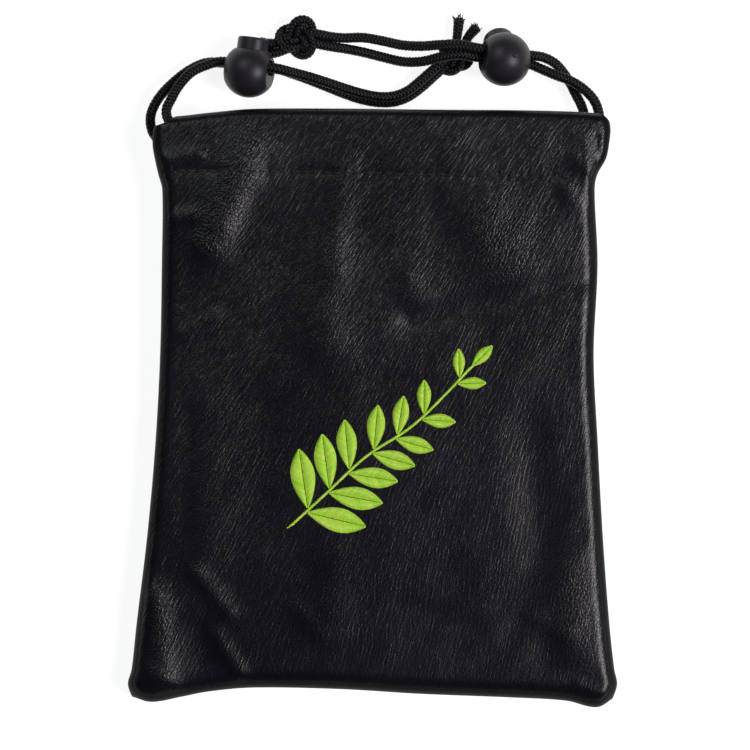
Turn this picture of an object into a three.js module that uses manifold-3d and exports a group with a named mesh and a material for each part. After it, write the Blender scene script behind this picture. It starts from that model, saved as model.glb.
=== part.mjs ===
// A flat leather pouch with a double drawstring, lying on its back with its front face up.
// Millimetres. +X is to the right as it is looked at, +Y runs to the mouth, +Z is up.
// The origin is under the middle of the two leather panels, on the surface that the pouch lies on.

import * as THREE from 'three';
import { mergeVertices } from 'three/addons/utils/BufferGeometryUtils.js';
import Module from 'manifold-3d';

// Corners nearer than this are one corner
const CORNER_REACH = 1e-4;

// Leather and seams
const LEATHER = 1.2;
const SEAM_GAP = 0.3;
const BOTTOM_ROUND = 14;
const BACK_ROUND = 7;

// Casing: a channel between the panel and its turned-in hem
const CHANNEL = 3.8;
const CASING = CHANNEL + 2 * LEATHER;
const CASING_TOP = 18;
const HEM_LEFT = -58.5;
const HEM_RIGHT = 61.5;
const HEM_FLAT = 14;
const HEM_LIFT = 2;
const HEM_LAP = 1;
const OPEN_DRAW = 0.5;
const SQUARE_DRAW = 1.5;
const STITCH_DIP = 0.8;
const STITCH_DIP_WIDTH = 3.2;

// Cords and where they run in the two casings
const CORD = 3.2;
const CORD_SIDES = 8;
const SIDE_ANGLE = (2 * Math.PI) / CORD_SIDES;
const FRONT_CHANNEL_Z = CASING_TOP - CASING / 2;
const BACK_CHANNEL_Z = CASING / 2;
const UPPER_LANE_Y = 90;
const LOWER_LANE_Y = 83.5;
const LANE_INSET = 9;
const LOOP_LEFT_X = -59.5;
const LOOP_RIGHT_X = 61;
const LOOP_STEPS = 6;

// Ball locks: both strands run side by side along the lock's own X, the button along its Y
const BALL_RADIUS = 8.6;
const BALL_FLAT = 7.15;
const BUTTON_RADIUS = 5;
const BUTTON_TOP = 10.6;
const BUTTON_EDGE = 0.7;
const BUTTON_TRAVEL = 2.2;
const BUTTON_WEB = 1.6;
const RUNNING_GAP = 0.3;
const STRAND_OFFSET = 1.75;
const LOCK_APPROACH = 9.5;
const HOLE_HEIGHT = 4.6;
const HOLE_RISE = 1.65;
const HOLE_CORNER_STEPS = 3;
const BALL_SEGMENTS = 20;
const BALL_RINGS = 12;

// Knots
const KNOT_TUBE = 2.1;
const KNOT_ARCS = 3;
const KNOT_STEPS = 7;
const KNOT_CORE = 2.3;
const KNOT_CORE_FLAT = 0.8;
const KNOT_CORE_SEGMENTS = 10;
const KNOT_CORE_RINGS = 8;

// Outline of the pouch: left and right edge at each height
const SIDES = [
  { y: 93.6, left: -67.2, right: 74.4 },
  { y: 90.2, left: -69.5, right: 75.8 },
  { y: 84.5, left: -70.1, right: 75.4 },
  { y: 79.7, left: -69.4, right: 74.4 },
  { y: 74.9, left: -68.4, right: 71.8 },
  { y: 70.1, left: -67.2, right: 71.0 },
  { y: 46.1, left: -67.4, right: 72.0 },
  { y: 17.3, left: -68.0, right: 70.8 },
  { y: -11.5, left: -69.6, right: 72.2 },
  { y: -40.3, left: -72.2, right: 73.8 },
  { y: -69.1, left: -75.7, right: 76.0 },
  { y: -83.5, left: -77.3, right: 77.6 },
  { y: -88.3, left: -78.5, right: 78.5 },
  { y: -94.0, left: -76.6, right: 76.8 },
];

// Bottom seam, top fold and hem stitching at each place across
const LENGTHS = [
  { x: -78, bottom: -92.0, top: 93.2, stitch: 75.6 },
  { x: -71, bottom: -94.0, top: 93.2, stitch: 75.6 },
  { x: -62, bottom: -92.5, top: 93.3, stitch: 75.8 },
  { x: -52, bottom: -90.6, top: 94.4, stitch: 75.8 },
  { x: -38, bottom: -89.4, top: 95.6, stitch: 75.6 },
  { x: -10, bottom: -89.9, top: 95.7, stitch: 75.2 },
  { x: 15, bottom: -91.4, top: 95.4, stitch: 74.6 },
  { x: 45, bottom: -92.6, top: 95.2, stitch: 74.0 },
  { x: 62, bottom: -93.6, top: 94.8, stitch: 73.6 },
  { x: 72, bottom: -95.7, top: 94.2, stitch: 73.6 },
  { x: 78, bottom: -92.4, top: 93.6, stitch: 73.6 },
];

// Height of the front, of the two edges that meet at the side seams, and how wide the front rounds over.
// Above the seams, in the casing, the two edges part and leave the side openings for the cords.
const HEIGHTS = [
  { y: -96, crown: 13.2, frontEdge: 3.15, backEdge: 2.85, round: 10 },
  { y: -60, crown: 13.8, frontEdge: 4.25, backEdge: 3.95, round: 10.5 },
  { y: 0, crown: 14.6, frontEdge: 6.1, backEdge: 5.8, round: 10.5 },
  { y: 50, crown: 16.2, frontEdge: 7.65, backEdge: 7.35, round: 10 },
  { y: 64, crown: 17.0, frontEdge: 8.1, backEdge: 7.8, round: 9.5 },
  { y: 73, crown: 17.6, frontEdge: 8.9, backEdge: 7.2, round: 9 },
  { y: 82.5, crown: CASING_TOP, frontEdge: 12.6, backEdge: 2.4, round: 8 },
  { y: 97, crown: CASING_TOP, frontEdge: 12.6, backEdge: 2.0, round: 8 },
];

// Soft folds of the front: ridges are positive, dents negative, each along a line
const FOLDS = [
  { name: 'left shoulder ridge', x1: -39, y1: 72, x2: -48, y2: 56, width: 7, rise: 0.8 },
  { name: 'left flank ridge', x1: -50, y1: 3, x2: -47, y2: -55, width: 8, rise: 0.88 },
  { name: 'middle ridge, upper', x1: -7, y1: 73, x2: -13.5, y2: 26, width: 8, rise: 0.8 },
  { name: 'middle ridge, lower', x1: -17, y1: -6, x2: -9, y2: -61, width: 9, rise: 0.75 },
  { name: 'valley left of the middle', x1: -31, y1: 50, x2: -35, y2: -35, width: 8, rise: -0.62 },
  { name: 'dent under the casing', x1: 26, y1: 60, x2: 30, y2: 52, width: 11, rise: -0.95 },
  { name: 'right shoulder', x1: 46, y1: 66, x2: 66, y2: 55, width: 9, rise: 0.62 },
  { name: 'right cross valley', x1: 16, y1: 31, x2: 70, y2: 40, width: 6, rise: -0.8 },
  { name: 'right flank ridge', x1: 42, y1: -8, x2: 43, y2: -60, width: 8, rise: 0.8 },
  { name: 'right edge ridge', x1: 69, y1: -46, x2: 71, y2: -84, width: 5, rise: 0.55 },
  { name: 'bottom left puff', x1: -64, y1: -78, x2: -53, y2: -86, width: 8, rise: 0.95 },
  { name: 'bottom left dent', x1: -41, y1: -76, x2: -28, y2: -79, width: 8, rise: -0.88 },
  { name: 'bottom right dent', x1: 58, y1: -80, x2: 65, y2: -85, width: 7, rise: -0.88 },
  { name: 'left edge fold', x1: -66, y1: 62, x2: -56, y2: 61, width: 3.5, rise: -0.55 },
];

// How finely each panel is faceted, across and along
const FACETS = {
  front: { edge: 4, across: 17, bottom: 4, along: 19 },
  back: { edge: 4, across: 8, bottom: 3, along: 11 },
};
const CASING_ROWS = [1, 0.84, 0.7, 0.42];
const FOLD_STEPS = 4;

// Where the locks and knots lie, and how they are turned, in degrees about X, Y and Z
const LOCKS = {
  left: { x: -39.4, y: 108.2, z: 8.65, tip: 0, lean: -15, turn: -8 },
  right: { x: 42.1, y: 111.7, z: 10.9, tip: -50, lean: 18, turn: -6 },
};
const KNOTS = {
  left: { x: 27.0, y: 112.6, z: 3.3, turn: -33, size: 1.5, flat: 1.0 },
  right: { x: -23.9, y: 119.3, z: 3.7, turn: 30, size: 1.7, flat: 1.3 },
};
const TAILS = {
  left: [
    [[26.6, 115.6, 4.0], [27.2, 119.8, 3.4], [27.8, 125.0, 3.0]],
    [[29.2, 115.4, 4.0], [30.6, 119.2, 3.2], [33.2, 122.4, 2.6]],
  ],
  right: [
    [[-27.4, 117.9, 4.2], [-31.0, 117.5, 3.0], [-34.6, 117.4, 2.2]],
    [[-26.8, 115.8, 3.8], [-30.4, 114.6, 2.6], [-34.0, 114.2, 2.0]],
  ],
};

// Free stretches of the cords, from the knot to the casing and back, laid along the picture
const RUNS = {
  left: {
    knotToLock: [
      [23.2, 111.7, 4.8], [20.9, 110.0, 5.2], [18.0, 107.6, 4.9], [14.9, 104.9, 4.65], [11.1, 102.0, 4.6],
      [6.8, 100.4, 4.6], [2.1, 100.2, 4.6], [-3.3, 101.2, 4.65], [-8.8, 102.8, 5.2], [-14.8, 104.7, 6.7],
      [-20.4, 106.3, 8.7], [-25.5, 107.5, 10.7],
    ],
    lockToCasing: [
      [-53.6, 109.9, 7.9], [-58.0, 107.7, 8.0], [-62.1, 103.2, 8.4], [-64.3, 99.2, 9.0], [-65.8, 96.0, 9.5],
      [-65.6, 93.3, 10.4], [-64.0, 91.2, 12.2], [-61.7, 90.2, 14.1],
    ],
    casingToLock: [
      [-62.4, 83.6, 3.15], [-65.4, 84.3, 3.4], [-68.2, 85.9, 3.9], [-70.3, 88.4, 4.5], [-71.2, 91.5, 5.0],
      [-70.9, 95.0, 5.4], [-68.4, 99.8, 5.8], [-63.5, 105.1, 5.2], [-58.1, 109.1, 4.7], [-53.2, 111.1, 4.6],
    ],
    lockToKnot: [
      [-25.5, 107.3, 7.2], [-20.6, 105.7, 5.3], [-15.2, 103.7, 3.5], [-9.2, 101.4, 2.2], [-3.7, 99.6, 1.75],
      [1.9, 98.6, 1.7], [7.2, 98.8, 1.7], [11.9, 100.6, 1.7], [15.9, 103.5, 1.75], [19.2, 106.4, 2.3],
      [21.9, 108.8, 3.0], [24.0, 110.7, 3.5],
    ],
  },
  right: {
    knotToLock: [
      [-20.4, 120.6, 4.4], [-17.2, 120.3, 3.8], [-13.2, 119.6, 2.7], [-9.2, 119.3, 1.9], [-3.0, 119.4, 1.75],
      [3.4, 118.3, 1.9], [9.6, 116.8, 3.9], [15.8, 116.2, 7.2], [22.0, 116.3, 10.9], [28.0, 116.1, 13.4],
    ],
    lockToCasing: [
      [54.8, 112.7, 6.4], [58.6, 110.8, 5.3], [61.2, 108.0, 4.7], [62.9, 104.6, 4.3], [64.3, 100.9, 4.2],
      [66.3, 97.5, 4.5], [67.8, 94.7, 4.5], [67.3, 92.1, 3.9], [65.1, 90.5, 3.3],
    ],
    casingToLock: [
      [65.2, 83.6, 14.6], [68.6, 84.7, 13.7], [71.3, 87.1, 12.3], [72.4, 90.4, 10.9], [72.4, 94.2, 10.0],
      [71.0, 98.4, 9.5], [67.9, 102.0, 9.0], [63.4, 105.0, 8.5], [58.6, 106.9, 7.6], [54.2, 108.9, 6.4],
    ],
    lockToKnot: [
      [27.6, 113.1, 12.2], [22.0, 112.5, 10.3], [15.8, 111.3, 7.2], [9.8, 111.5, 4.0], [3.4, 113.1, 1.9],
      [-2.9, 114.7, 1.75], [-8.0, 115.7, 1.8], [-12.6, 116.35, 2.6], [-16.6, 117.0, 3.6], [-20.4, 117.9, 4.4],
    ],
  },
};

const LEATHER_BLACK = { color: 0x17161a, roughness: 0.55, metalness: 0 };
const CORD_BLACK = { color: 0x0b0b0d, roughness: 0.85, metalness: 0 };
const PLASTIC_BLACK = { color: 0x1a1a1c, roughness: 0.42, metalness: 0 };

const wasm = await Module();
wasm.setup();

const mix = (from, to, share) => from + (to - from) * share;
const clamp01 = (value) => Math.min(1, Math.max(0, value));
const radians = THREE.MathUtils.degToRad;

// A smooth curve through one column of a table, by its key column
function through(rows, key, column) {
  const sorted = [...rows].sort((a, b) => a[key] - b[key]);
  const slope = (i) => {
    const before = sorted[Math.max(0, i - 1)];
    const after = sorted[Math.min(sorted.length - 1, i + 1)];
    return (after[column] - before[column]) / (after[key] - before[key]);
  };
  return (value) => {
    const last = sorted.length - 1;
    if (value <= sorted[0][key]) return sorted[0][column];
    if (value >= sorted[last][key]) return sorted[last][column];
    const i = sorted.findIndex((row) => row[key] > value) - 1;
    const span = sorted[i + 1][key] - sorted[i][key];
    const t = (value - sorted[i][key]) / span;
    const rest = 1 - t;
    return (1 + 2 * t) * rest * rest * sorted[i][column] + t * t * (3 - 2 * t) * sorted[i + 1][column]
      + span * t * rest * (rest * slope(i) - t * slope(i + 1));
  };
}

const leftEdge = through(SIDES, 'y', 'left');
const rightEdge = through(SIDES, 'y', 'right');
const bottomSeam = through(LENGTHS, 'x', 'bottom');
const topFold = through(LENGTHS, 'x', 'top');
const stitchLine = through(LENGTHS, 'x', 'stitch');
const crown = through(HEIGHTS, 'y', 'crown');
const frontEdge = through(HEIGHTS, 'y', 'frontEdge');
const backEdge = through(HEIGHTS, 'y', 'backEdge');
const frontRound = through(HEIGHTS, 'y', 'round');

// Quarter round from 0 at an edge to 1 at the given width from it
function roundOver(distance, width) {
  const share = clamp01(distance / width);
  return Math.sqrt(share * (2 - share));
}

// Sum of the folds at a place on the front, fading out at the casing
function foldRise(x, y) {
  let rise = 0;
  for (const fold of FOLDS) {
    const dx = fold.x2 - fold.x1;
    const dy = fold.y2 - fold.y1;
    const along = clamp01(((x - fold.x1) * dx + (y - fold.y1) * dy) / (dx * dx + dy * dy));
    const away = Math.hypot(x - fold.x1 - along * dx, y - fold.y1 - along * dy) / fold.width;
    rise += fold.rise * Math.exp(-away * away);
  }
  const belowStitch = clamp01((stitchLine(x) - y) / BOTTOM_ROUND);
  return rise * belowStitch;
}

// How far a place stands inside the outline, as a share of full height
function insideShare(x, y, inset, sideRound, bottomRound) {
  const fromSide = Math.min(x - leftEdge(y), rightEdge(y) - x) - inset;
  const fromBottom = y - bottomSeam(x) - inset;
  return roundOver(fromSide, sideRound) * roundOver(fromBottom, bottomRound);
}

// Height of the front panel's outer face, or with an inset of its inner face
function frontHeight(x, y, inset) {
  const dip = STITCH_DIP * Math.exp(-(((y - stitchLine(x)) / STITCH_DIP_WIDTH) ** 2));
  const top = crown(y) + foldRise(x, y) - dip - inset;
  return mix(frontEdge(y), top, insideShare(x, y, inset, frontRound(y), BOTTOM_ROUND));
}

// Height of the back panel's outer face, flat on the surface but for its rounded edges
function backHeight(x, y, inset) {
  return mix(backEdge(y), inset, insideShare(x, y, inset, BACK_ROUND, BACK_ROUND));
}

// Places across a panel, closer together where its edges round over
function acrossShares({ edge, across }, round) {
  const width = rightEdge(0) - leftEdge(0);
  const zone = round / width;
  const shares = [];
  for (let i = 0; i < edge; i += 1) shares.push(zone * (1 - Math.cos((Math.PI / 2) * (i / edge))));
  for (let i = 0; i <= across; i += 1) shares.push(mix(zone, 1 - zone, i / across));
  for (let i = edge - 1; i >= 0; i -= 1) shares.push(1 - shares[i]);
  return shares;
}

// Rows of one panel from the bottom seam up, over the top fold and down the hem to its stitched edge.
// Each row gives a place from a share across; depth is measured from the outer face into the pouch.
function panelRows({ bottom, along }, bottomRound, face) {
  const outerLeft = (y) => leftEdge(y) + (face.inset ? LEATHER : 0);
  const outerRight = (y) => rightEdge(y) - (face.inset ? LEATHER : 0);
  const acrossAt = (share, y) => mix(outerLeft(y), outerRight(y), share);
  const floorAt = (x) => bottomSeam(x) + (face.inset ? LEATHER : 0);
  const rows = [];
  const skin = (yAt) => rows.push((share) => {
    const guess = acrossAt(share, yAt(acrossAt(share, 0)));
    const y = yAt(guess);
    const x = acrossAt(share, y);
    return [x, y, face.height(x, y, face.inset)];
  });
  for (let i = 0; i < bottom; i += 1) {
    const rise = bottomRound * (1 - Math.cos((Math.PI / 2) * (i / bottom)));
    skin((x) => floorAt(x) + rise);
  }
  for (let i = 0; i < along; i += 1) {
    skin((x) => mix(floorAt(x) + bottomRound, stitchLine(x), i / along));
  }
  for (const share of CASING_ROWS) skin((x) => mix(topFold(x), stitchLine(x), share));
  const foldCentre = (x) => topFold(x) - CASING / 2;
  const foldRadius = CASING / 2 - face.inset;
  const turned = (part, yAt, depthAt) => rows.push((share) => {
    const narrowing = mix(part ** OPEN_DRAW, part ** face.rightDraw, share);
    const wide = acrossAt(share, foldCentre(acrossAt(share, UPPER_LANE_Y)));
    const x = mix(wide, mix(HEM_LEFT, HEM_RIGHT, share), narrowing);
    const y = yAt(x);
    return [x, y, face.height(x, Math.min(y, foldCentre(x)), 0) + face.inward * depthAt];
  });
  for (let i = 0; i <= FOLD_STEPS; i += 1) {
    const angle = Math.PI * (i / FOLD_STEPS);
    const depth = CASING / 2 - foldRadius * Math.cos(angle);
    turned(i / FOLD_STEPS, (x) => foldCentre(x) + foldRadius * Math.sin(angle), depth);
  }
  const hemDepth = CASING - face.inset;
  const lapDepth = 2 * LEATHER + SEAM_GAP - face.inset;
  turned(1, (x) => topFold(x) - HEM_FLAT / 2, hemDepth);
  turned(1, (x) => topFold(x) - HEM_FLAT, hemDepth);
  turned(1, (x) => stitchLine(x) + HEM_LIFT, lapDepth);
  turned(1, (x) => stitchLine(x) - HEM_LAP, lapDepth);
  return rows;
}

// A closed leather sheet between an outer and an inner grid of points
function sheetGeometry(outer, inner, outwardUp) {
  const rowCount = outer.length;
  const columnCount = outer[0].length;
  const positions = [...outer.flat(2), ...inner.flat(2)];
  const index = [];
  const at = (side, row, column) => (side * rowCount + row) * columnCount + column;
  const quad = (a, b, c, d) => {
    const order = outwardUp ? [a, b, c, a, c, d] : [a, c, b, a, d, c];
    index.push(...order);
  };
  for (let r = 0; r + 1 < rowCount; r += 1) {
    for (let c = 0; c + 1 < columnCount; c += 1) {
      quad(at(0, r, c), at(0, r, c + 1), at(0, r + 1, c + 1), at(0, r + 1, c));
      quad(at(1, r, c), at(1, r + 1, c), at(1, r + 1, c + 1), at(1, r, c + 1));
    }
    const end = columnCount - 1;
    quad(at(0, r, 0), at(0, r + 1, 0), at(1, r + 1, 0), at(1, r, 0));
    quad(at(0, r, end), at(1, r, end), at(1, r + 1, end), at(0, r + 1, end));
  }
  const last = rowCount - 1;
  for (let c = 0; c + 1 < columnCount; c += 1) {
    quad(at(0, 0, c), at(1, 0, c), at(1, 0, c + 1), at(0, 0, c + 1));
    quad(at(0, last, c), at(0, last, c + 1), at(1, last, c + 1), at(1, last, c));
  }
  const geometry = new THREE.BufferGeometry();
  geometry.setAttribute('position', new THREE.Float32BufferAttribute(positions, 3));
  geometry.setIndex(index);
  return geometry;
}

// One leather panel with its casing; inward is +1 where the pouch's inside lies above it
function panelGeometry(facets, height, sideRound, bottomRound, inward) {
  const shares = acrossShares(facets, sideRound);
  const rightDraw = inward < 0 ? SQUARE_DRAW : OPEN_DRAW;
  const grid = (inset) => panelRows(facets, bottomRound, { height, inset, inward, rightDraw })
    .map((row) => shares.map(row));
  return sheetGeometry(grid(0), grid(LEATHER), inward < 0);
}

// Solids are joined and cut on meshes whose shared corners are one
function solidOf(geometry) {
  const bare = geometry.clone();
  bare.deleteAttribute('normal');
  bare.deleteAttribute('uv');
  const merged = mergeVertices(bare, CORNER_REACH);
  const vertProperties = new Float32Array(merged.attributes.position.array);
  const triVerts = new Uint32Array(merged.index.array);
  return new wasm.Manifold(new wasm.Mesh({ numProp: 3, vertProperties, triVerts }));
}

function geometryOf(solid) {
  const mesh = solid.getMesh();
  const geometry = new THREE.BufferGeometry();
  geometry.setAttribute('position', new THREE.Float32BufferAttribute(mesh.vertProperties, 3));
  geometry.setIndex([...mesh.triVerts]);
  return geometry;
}

// A curve that steps evenly from point to point, so that tight bends get short steps
class RoutedCurve extends THREE.CatmullRomCurve3 {
  getPointAt(share, target) {
    return this.getPoint(share, target);
  }

  getTangentAt(share, target) {
    return this.getTangent(share, target);
  }
}

function tubeGeometry(points, radius, steps) {
  const corner = (_, i) => new THREE.Vector2(radius, 0).rotateAround(new THREE.Vector2(), i * SIDE_ANGLE);
  const section = new THREE.Shape(Array.from({ length: CORD_SIDES }, corner));
  const extrudePath = new RoutedCurve(points);
  return new THREE.ExtrudeGeometry(section, { steps, extrudePath, bevelEnabled: false });
}

function lockMatrix({ x, y, z, tip, lean, turn }) {
  const turned = new THREE.Euler(radians(tip), radians(lean), radians(turn), 'ZYX');
  return new THREE.Matrix4().makeRotationFromEuler(turned).setPosition(x, y, z);
}

// A strand's straight way through a lock, from its left to its right face
function throughLock(lock, offset) {
  const place = lockMatrix(lock);
  return [-LOCK_APPROACH, 0, LOCK_APPROACH].map((x) => new THREE.Vector3(x, HOLE_RISE, offset))
    .map((point) => point.applyMatrix4(place));
}

// A strand's way along a casing, between the two ends of its hem
function casingLane(y, z) {
  const inner = [LOOP_LEFT_X + LANE_INSET, (HEM_LEFT + HEM_RIGHT) / 2, LOOP_RIGHT_X - LANE_INSET];
  return inner.map((x) => new THREE.Vector3(x, y, z));
}

// The half turn that a cord makes from one casing to the other at the far side opening
function farLoop(x, outward, from, to) {
  const centre = from.clone().add(to).multiplyScalar(0.5);
  const arm = from.clone().sub(centre);
  const bulge = new THREE.Vector3(outward * arm.length(), 0, 0);
  return Array.from({ length: LOOP_STEPS + 1 }, (_, i) => {
    const angle = Math.PI * (i / LOOP_STEPS);
    const point = centre.clone().addScaledVector(arm, Math.cos(angle));
    point.addScaledVector(bulge, Math.sin(angle));
    return point.setX(point.x + x);
  });
}

// A whole cord: knot, lock, casing, round the far side, back casing, lock and knot again
function cordRoute(side) {
  const run = RUNS[side];
  const points = (list) => list.map(([x, y, z]) => new THREE.Vector3(x, y, z));
  const onLeft = side === 'left';
  const [outZ, backZ] = onLeft ? [FRONT_CHANNEL_Z, BACK_CHANNEL_Z] : [BACK_CHANNEL_Z, FRONT_CHANNEL_Z];
  const outward = casingLane(UPPER_LANE_Y, outZ);
  const homeward = casingLane(LOWER_LANE_Y, backZ);
  const [near, far] = onLeft ? [LOOP_LEFT_X, LOOP_RIGHT_X] : [LOOP_RIGHT_X, LOOP_LEFT_X];
  const from = new THREE.Vector3(0, UPPER_LANE_Y, outZ);
  const to = new THREE.Vector3(0, LOWER_LANE_Y, backZ);
  const first = throughLock(LOCKS[side], STRAND_OFFSET);
  const second = throughLock(LOCKS[side], -STRAND_OFFSET);
  return [
    ...points(run.knotToLock),
    ...(onLeft ? first.reverse() : first),
    ...points(run.lockToCasing),
    from.clone().setX(near),
    ...(onLeft ? outward : outward.reverse()),
    ...farLoop(far, Math.sign(far), from, to),
    ...(onLeft ? homeward.reverse() : homeward),
    to.clone().setX(near),
    ...points(run.casingToLock),
    ...(onLeft ? second : second.reverse()),
    ...points(run.lockToKnot),
  ];
}

// An overhand knot pulled tight: three fat lobes of a trefoil that sink into each other
function knotSolid({ x, y, z, turn, size, flat }) {
  const place = new THREE.Matrix4().makeRotationZ(radians(turn)).setPosition(x, y, z);
  const lobeAt = (t) => new THREE.Vector3(
    size * (Math.sin(t) + 2 * Math.sin(2 * t)),
    size * (Math.cos(t) - 2 * Math.cos(2 * t)),
    -flat * Math.sin(3 * t),
  ).applyMatrix4(place);
  const arc = (2 * Math.PI) / KNOT_ARCS;
  const overlap = arc / KNOT_STEPS;
  const arcs = Array.from({ length: KNOT_ARCS }, (_, i) => {
    const steps = KNOT_STEPS + 1;
    const turnAt = (k) => i * arc + (arc + overlap) * (k / steps);
    const points = Array.from({ length: steps + 1 }, (__, k) => lobeAt(turnAt(k)));
    return solidOf(tubeGeometry(points, KNOT_TUBE, steps));
  });
  const core = new THREE.SphereGeometry(KNOT_CORE * size, KNOT_CORE_SEGMENTS, KNOT_CORE_RINGS)
    .scale(1, 1, KNOT_CORE_FLAT);
  return arcs.reduce((whole, piece) => whole.add(piece), solidOf(core.applyMatrix4(place)));
}

function cordGeometry(side) {
  const route = cordRoute(side);
  let whole = solidOf(tubeGeometry(route, CORD / 2, route.length - 1)).add(knotSolid(KNOTS[side]));
  for (const tail of TAILS[side]) {
    const points = tail.map(([x, y, z]) => new THREE.Vector3(x, y, z));
    whole = whole.add(solidOf(tubeGeometry(points, CORD / 2, points.length)));
  }
  return geometryOf(whole);
}

// A slot with round corners for the two strands, running right through along X
function strandSlot(height, lift) {
  const corner = CORD / 2 + RUNNING_GAP;
  const rise = height / 2 - corner;
  const shape = new THREE.Shape();
  shape.absarc(STRAND_OFFSET, rise, corner, 0, Math.PI / 2);
  shape.absarc(-STRAND_OFFSET, rise, corner, Math.PI / 2, Math.PI);
  shape.absarc(-STRAND_OFFSET, -rise, corner, Math.PI, 1.5 * Math.PI);
  shape.absarc(STRAND_OFFSET, -rise, corner, 1.5 * Math.PI, 2 * Math.PI);
  const depth = 4 * BALL_RADIUS;
  const slot = new THREE.ExtrudeGeometry(shape, {
    depth, steps: 1, curveSegments: HOLE_CORNER_STEPS, bevelEnabled: false,
  });
  return solidOf(slot.translate(0, lift, -depth / 2).rotateY(Math.PI / 2));
}

// The ball of a lock, flat where the cord comes out and bored for the button
function lockBodyGeometry() {
  const ball = solidOf(new THREE.SphereGeometry(BALL_RADIUS, BALL_SEGMENTS, BALL_RINGS));
  const boreFloor = HOLE_RISE - (CORD / 2 + RUNNING_GAP + BUTTON_TRAVEL + BUTTON_WEB + RUNNING_GAP);
  const boreLength = 2 * BALL_RADIUS;
  const bore = new THREE.CylinderGeometry(
    BUTTON_RADIUS + RUNNING_GAP, BUTTON_RADIUS + RUNNING_GAP, boreLength, BALL_SEGMENTS,
  ).translate(0, boreFloor + boreLength / 2, 0);
  let body = ball.subtract(solidOf(bore)).subtract(strandSlot(HOLE_HEIGHT, HOLE_RISE));
  for (const side of [-1, 1]) {
    const cut = new THREE.BoxGeometry(BALL_RADIUS, 2 * BALL_RADIUS, 2 * BALL_RADIUS);
    body = body.subtract(solidOf(cut.translate(side * (BALL_FLAT + BALL_RADIUS / 2), 0, 0)));
  }
  return geometryOf(body);
}

// The plunger: a round button whose slot lets the strands pass at rest and when it is pressed
function lockButtonGeometry() {
  const slotLow = HOLE_RISE - CORD / 2 - RUNNING_GAP;
  const slotHigh = HOLE_RISE + CORD / 2 + RUNNING_GAP + BUTTON_TRAVEL;
  const foot = slotLow - BUTTON_WEB;
  const profile = [
    [0, foot], [BUTTON_RADIUS - BUTTON_EDGE, foot], [BUTTON_RADIUS, foot + BUTTON_EDGE],
    [BUTTON_RADIUS, BUTTON_TOP - BUTTON_EDGE], [BUTTON_RADIUS - BUTTON_EDGE, BUTTON_TOP], [0, BUTTON_TOP],
  ].map(([r, y]) => new THREE.Vector2(r, y));
  const plunger = solidOf(new THREE.LatheGeometry(profile, BALL_SEGMENTS));
  const slot = strandSlot(slotHigh - slotLow, (slotHigh + slotLow) / 2);
  return geometryOf(plunger.subtract(slot));
}

function meshOf(name, geometry, finish) {
  const mesh = new THREE.Mesh(geometry, new THREE.MeshStandardMaterial(finish));
  mesh.name = name;
  return mesh;
}

const pouch = new THREE.Group();
pouch.add(meshOf('front_panel', panelGeometry(FACETS.front, frontHeight, frontRound(0), BOTTOM_ROUND, -1),
  LEATHER_BLACK));
pouch.add(meshOf('back_panel', panelGeometry(FACETS.back, backHeight, BACK_ROUND, BACK_ROUND, 1),
  LEATHER_BLACK));
for (const side of ['left', 'right']) {
  pouch.add(meshOf(`${side}_cord`, cordGeometry(side), CORD_BLACK));
  const lock = new THREE.Group();
  lock.applyMatrix4(lockMatrix(LOCKS[side]));
  lock.add(meshOf(`${side}_lock_body`, lockBodyGeometry(), PLASTIC_BLACK));
  lock.add(meshOf(`${side}_lock_button`, lockButtonGeometry(), PLASTIC_BLACK));
  pouch.add(lock);
}

export default pouch;
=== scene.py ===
"""A flat black leather pouch with a double drawstring, lying on its back on a pale floor.

Tables and sizes are in millimetres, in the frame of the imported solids; meshes are made in metres.
"""

from __future__ import annotations

import logging
import math
from dataclasses import dataclass, field
from enum import Enum
from typing import Any, Callable, Mapping, NamedTuple, Sequence

import bmesh
import bpy
import numpy as np
from mathutils import Matrix, Vector, noise


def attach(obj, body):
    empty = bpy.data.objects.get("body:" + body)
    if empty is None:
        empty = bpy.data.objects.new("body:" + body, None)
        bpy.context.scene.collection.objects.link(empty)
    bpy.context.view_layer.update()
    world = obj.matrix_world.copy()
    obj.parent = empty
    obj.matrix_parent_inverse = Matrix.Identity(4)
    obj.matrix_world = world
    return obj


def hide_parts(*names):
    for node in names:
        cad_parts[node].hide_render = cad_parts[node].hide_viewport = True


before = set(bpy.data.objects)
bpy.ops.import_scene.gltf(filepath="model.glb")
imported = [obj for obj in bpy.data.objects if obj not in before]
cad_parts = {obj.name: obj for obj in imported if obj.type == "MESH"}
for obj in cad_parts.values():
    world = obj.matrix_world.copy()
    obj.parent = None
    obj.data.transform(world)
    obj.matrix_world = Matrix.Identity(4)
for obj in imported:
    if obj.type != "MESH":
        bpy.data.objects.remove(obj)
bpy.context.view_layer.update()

LOG = logging.getLogger("pouch")
MM = 0.001
TINY = 1e-12
SEED = 7

Array = np.ndarray
Colour = tuple[float, float, float]
Point = tuple[float, float, float]
UP = np.array([0.0, 0.0, 1.0])
FAR = np.array([0.0, 1.0, 0.0])


class Side(NamedTuple):
    """Left and right edge of the pouch at one height."""

    y: float
    left: float
    right: float


class Length(NamedTuple):
    """Bottom seam, top fold and hem stitching at one place across."""

    x: float
    bottom: float
    top: float
    stitch: float


class Height(NamedTuple):
    """Height of the front and of the two seam edges, and how wide the front rounds over."""

    y: float
    crown: float
    front_edge: float
    back_edge: float
    round: float


class Fold(NamedTuple):
    """A ridge, or a dent where rise is negative, along a line on the front."""

    x1: float
    y1: float
    x2: float
    y2: float
    width: float
    rise: float


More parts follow.
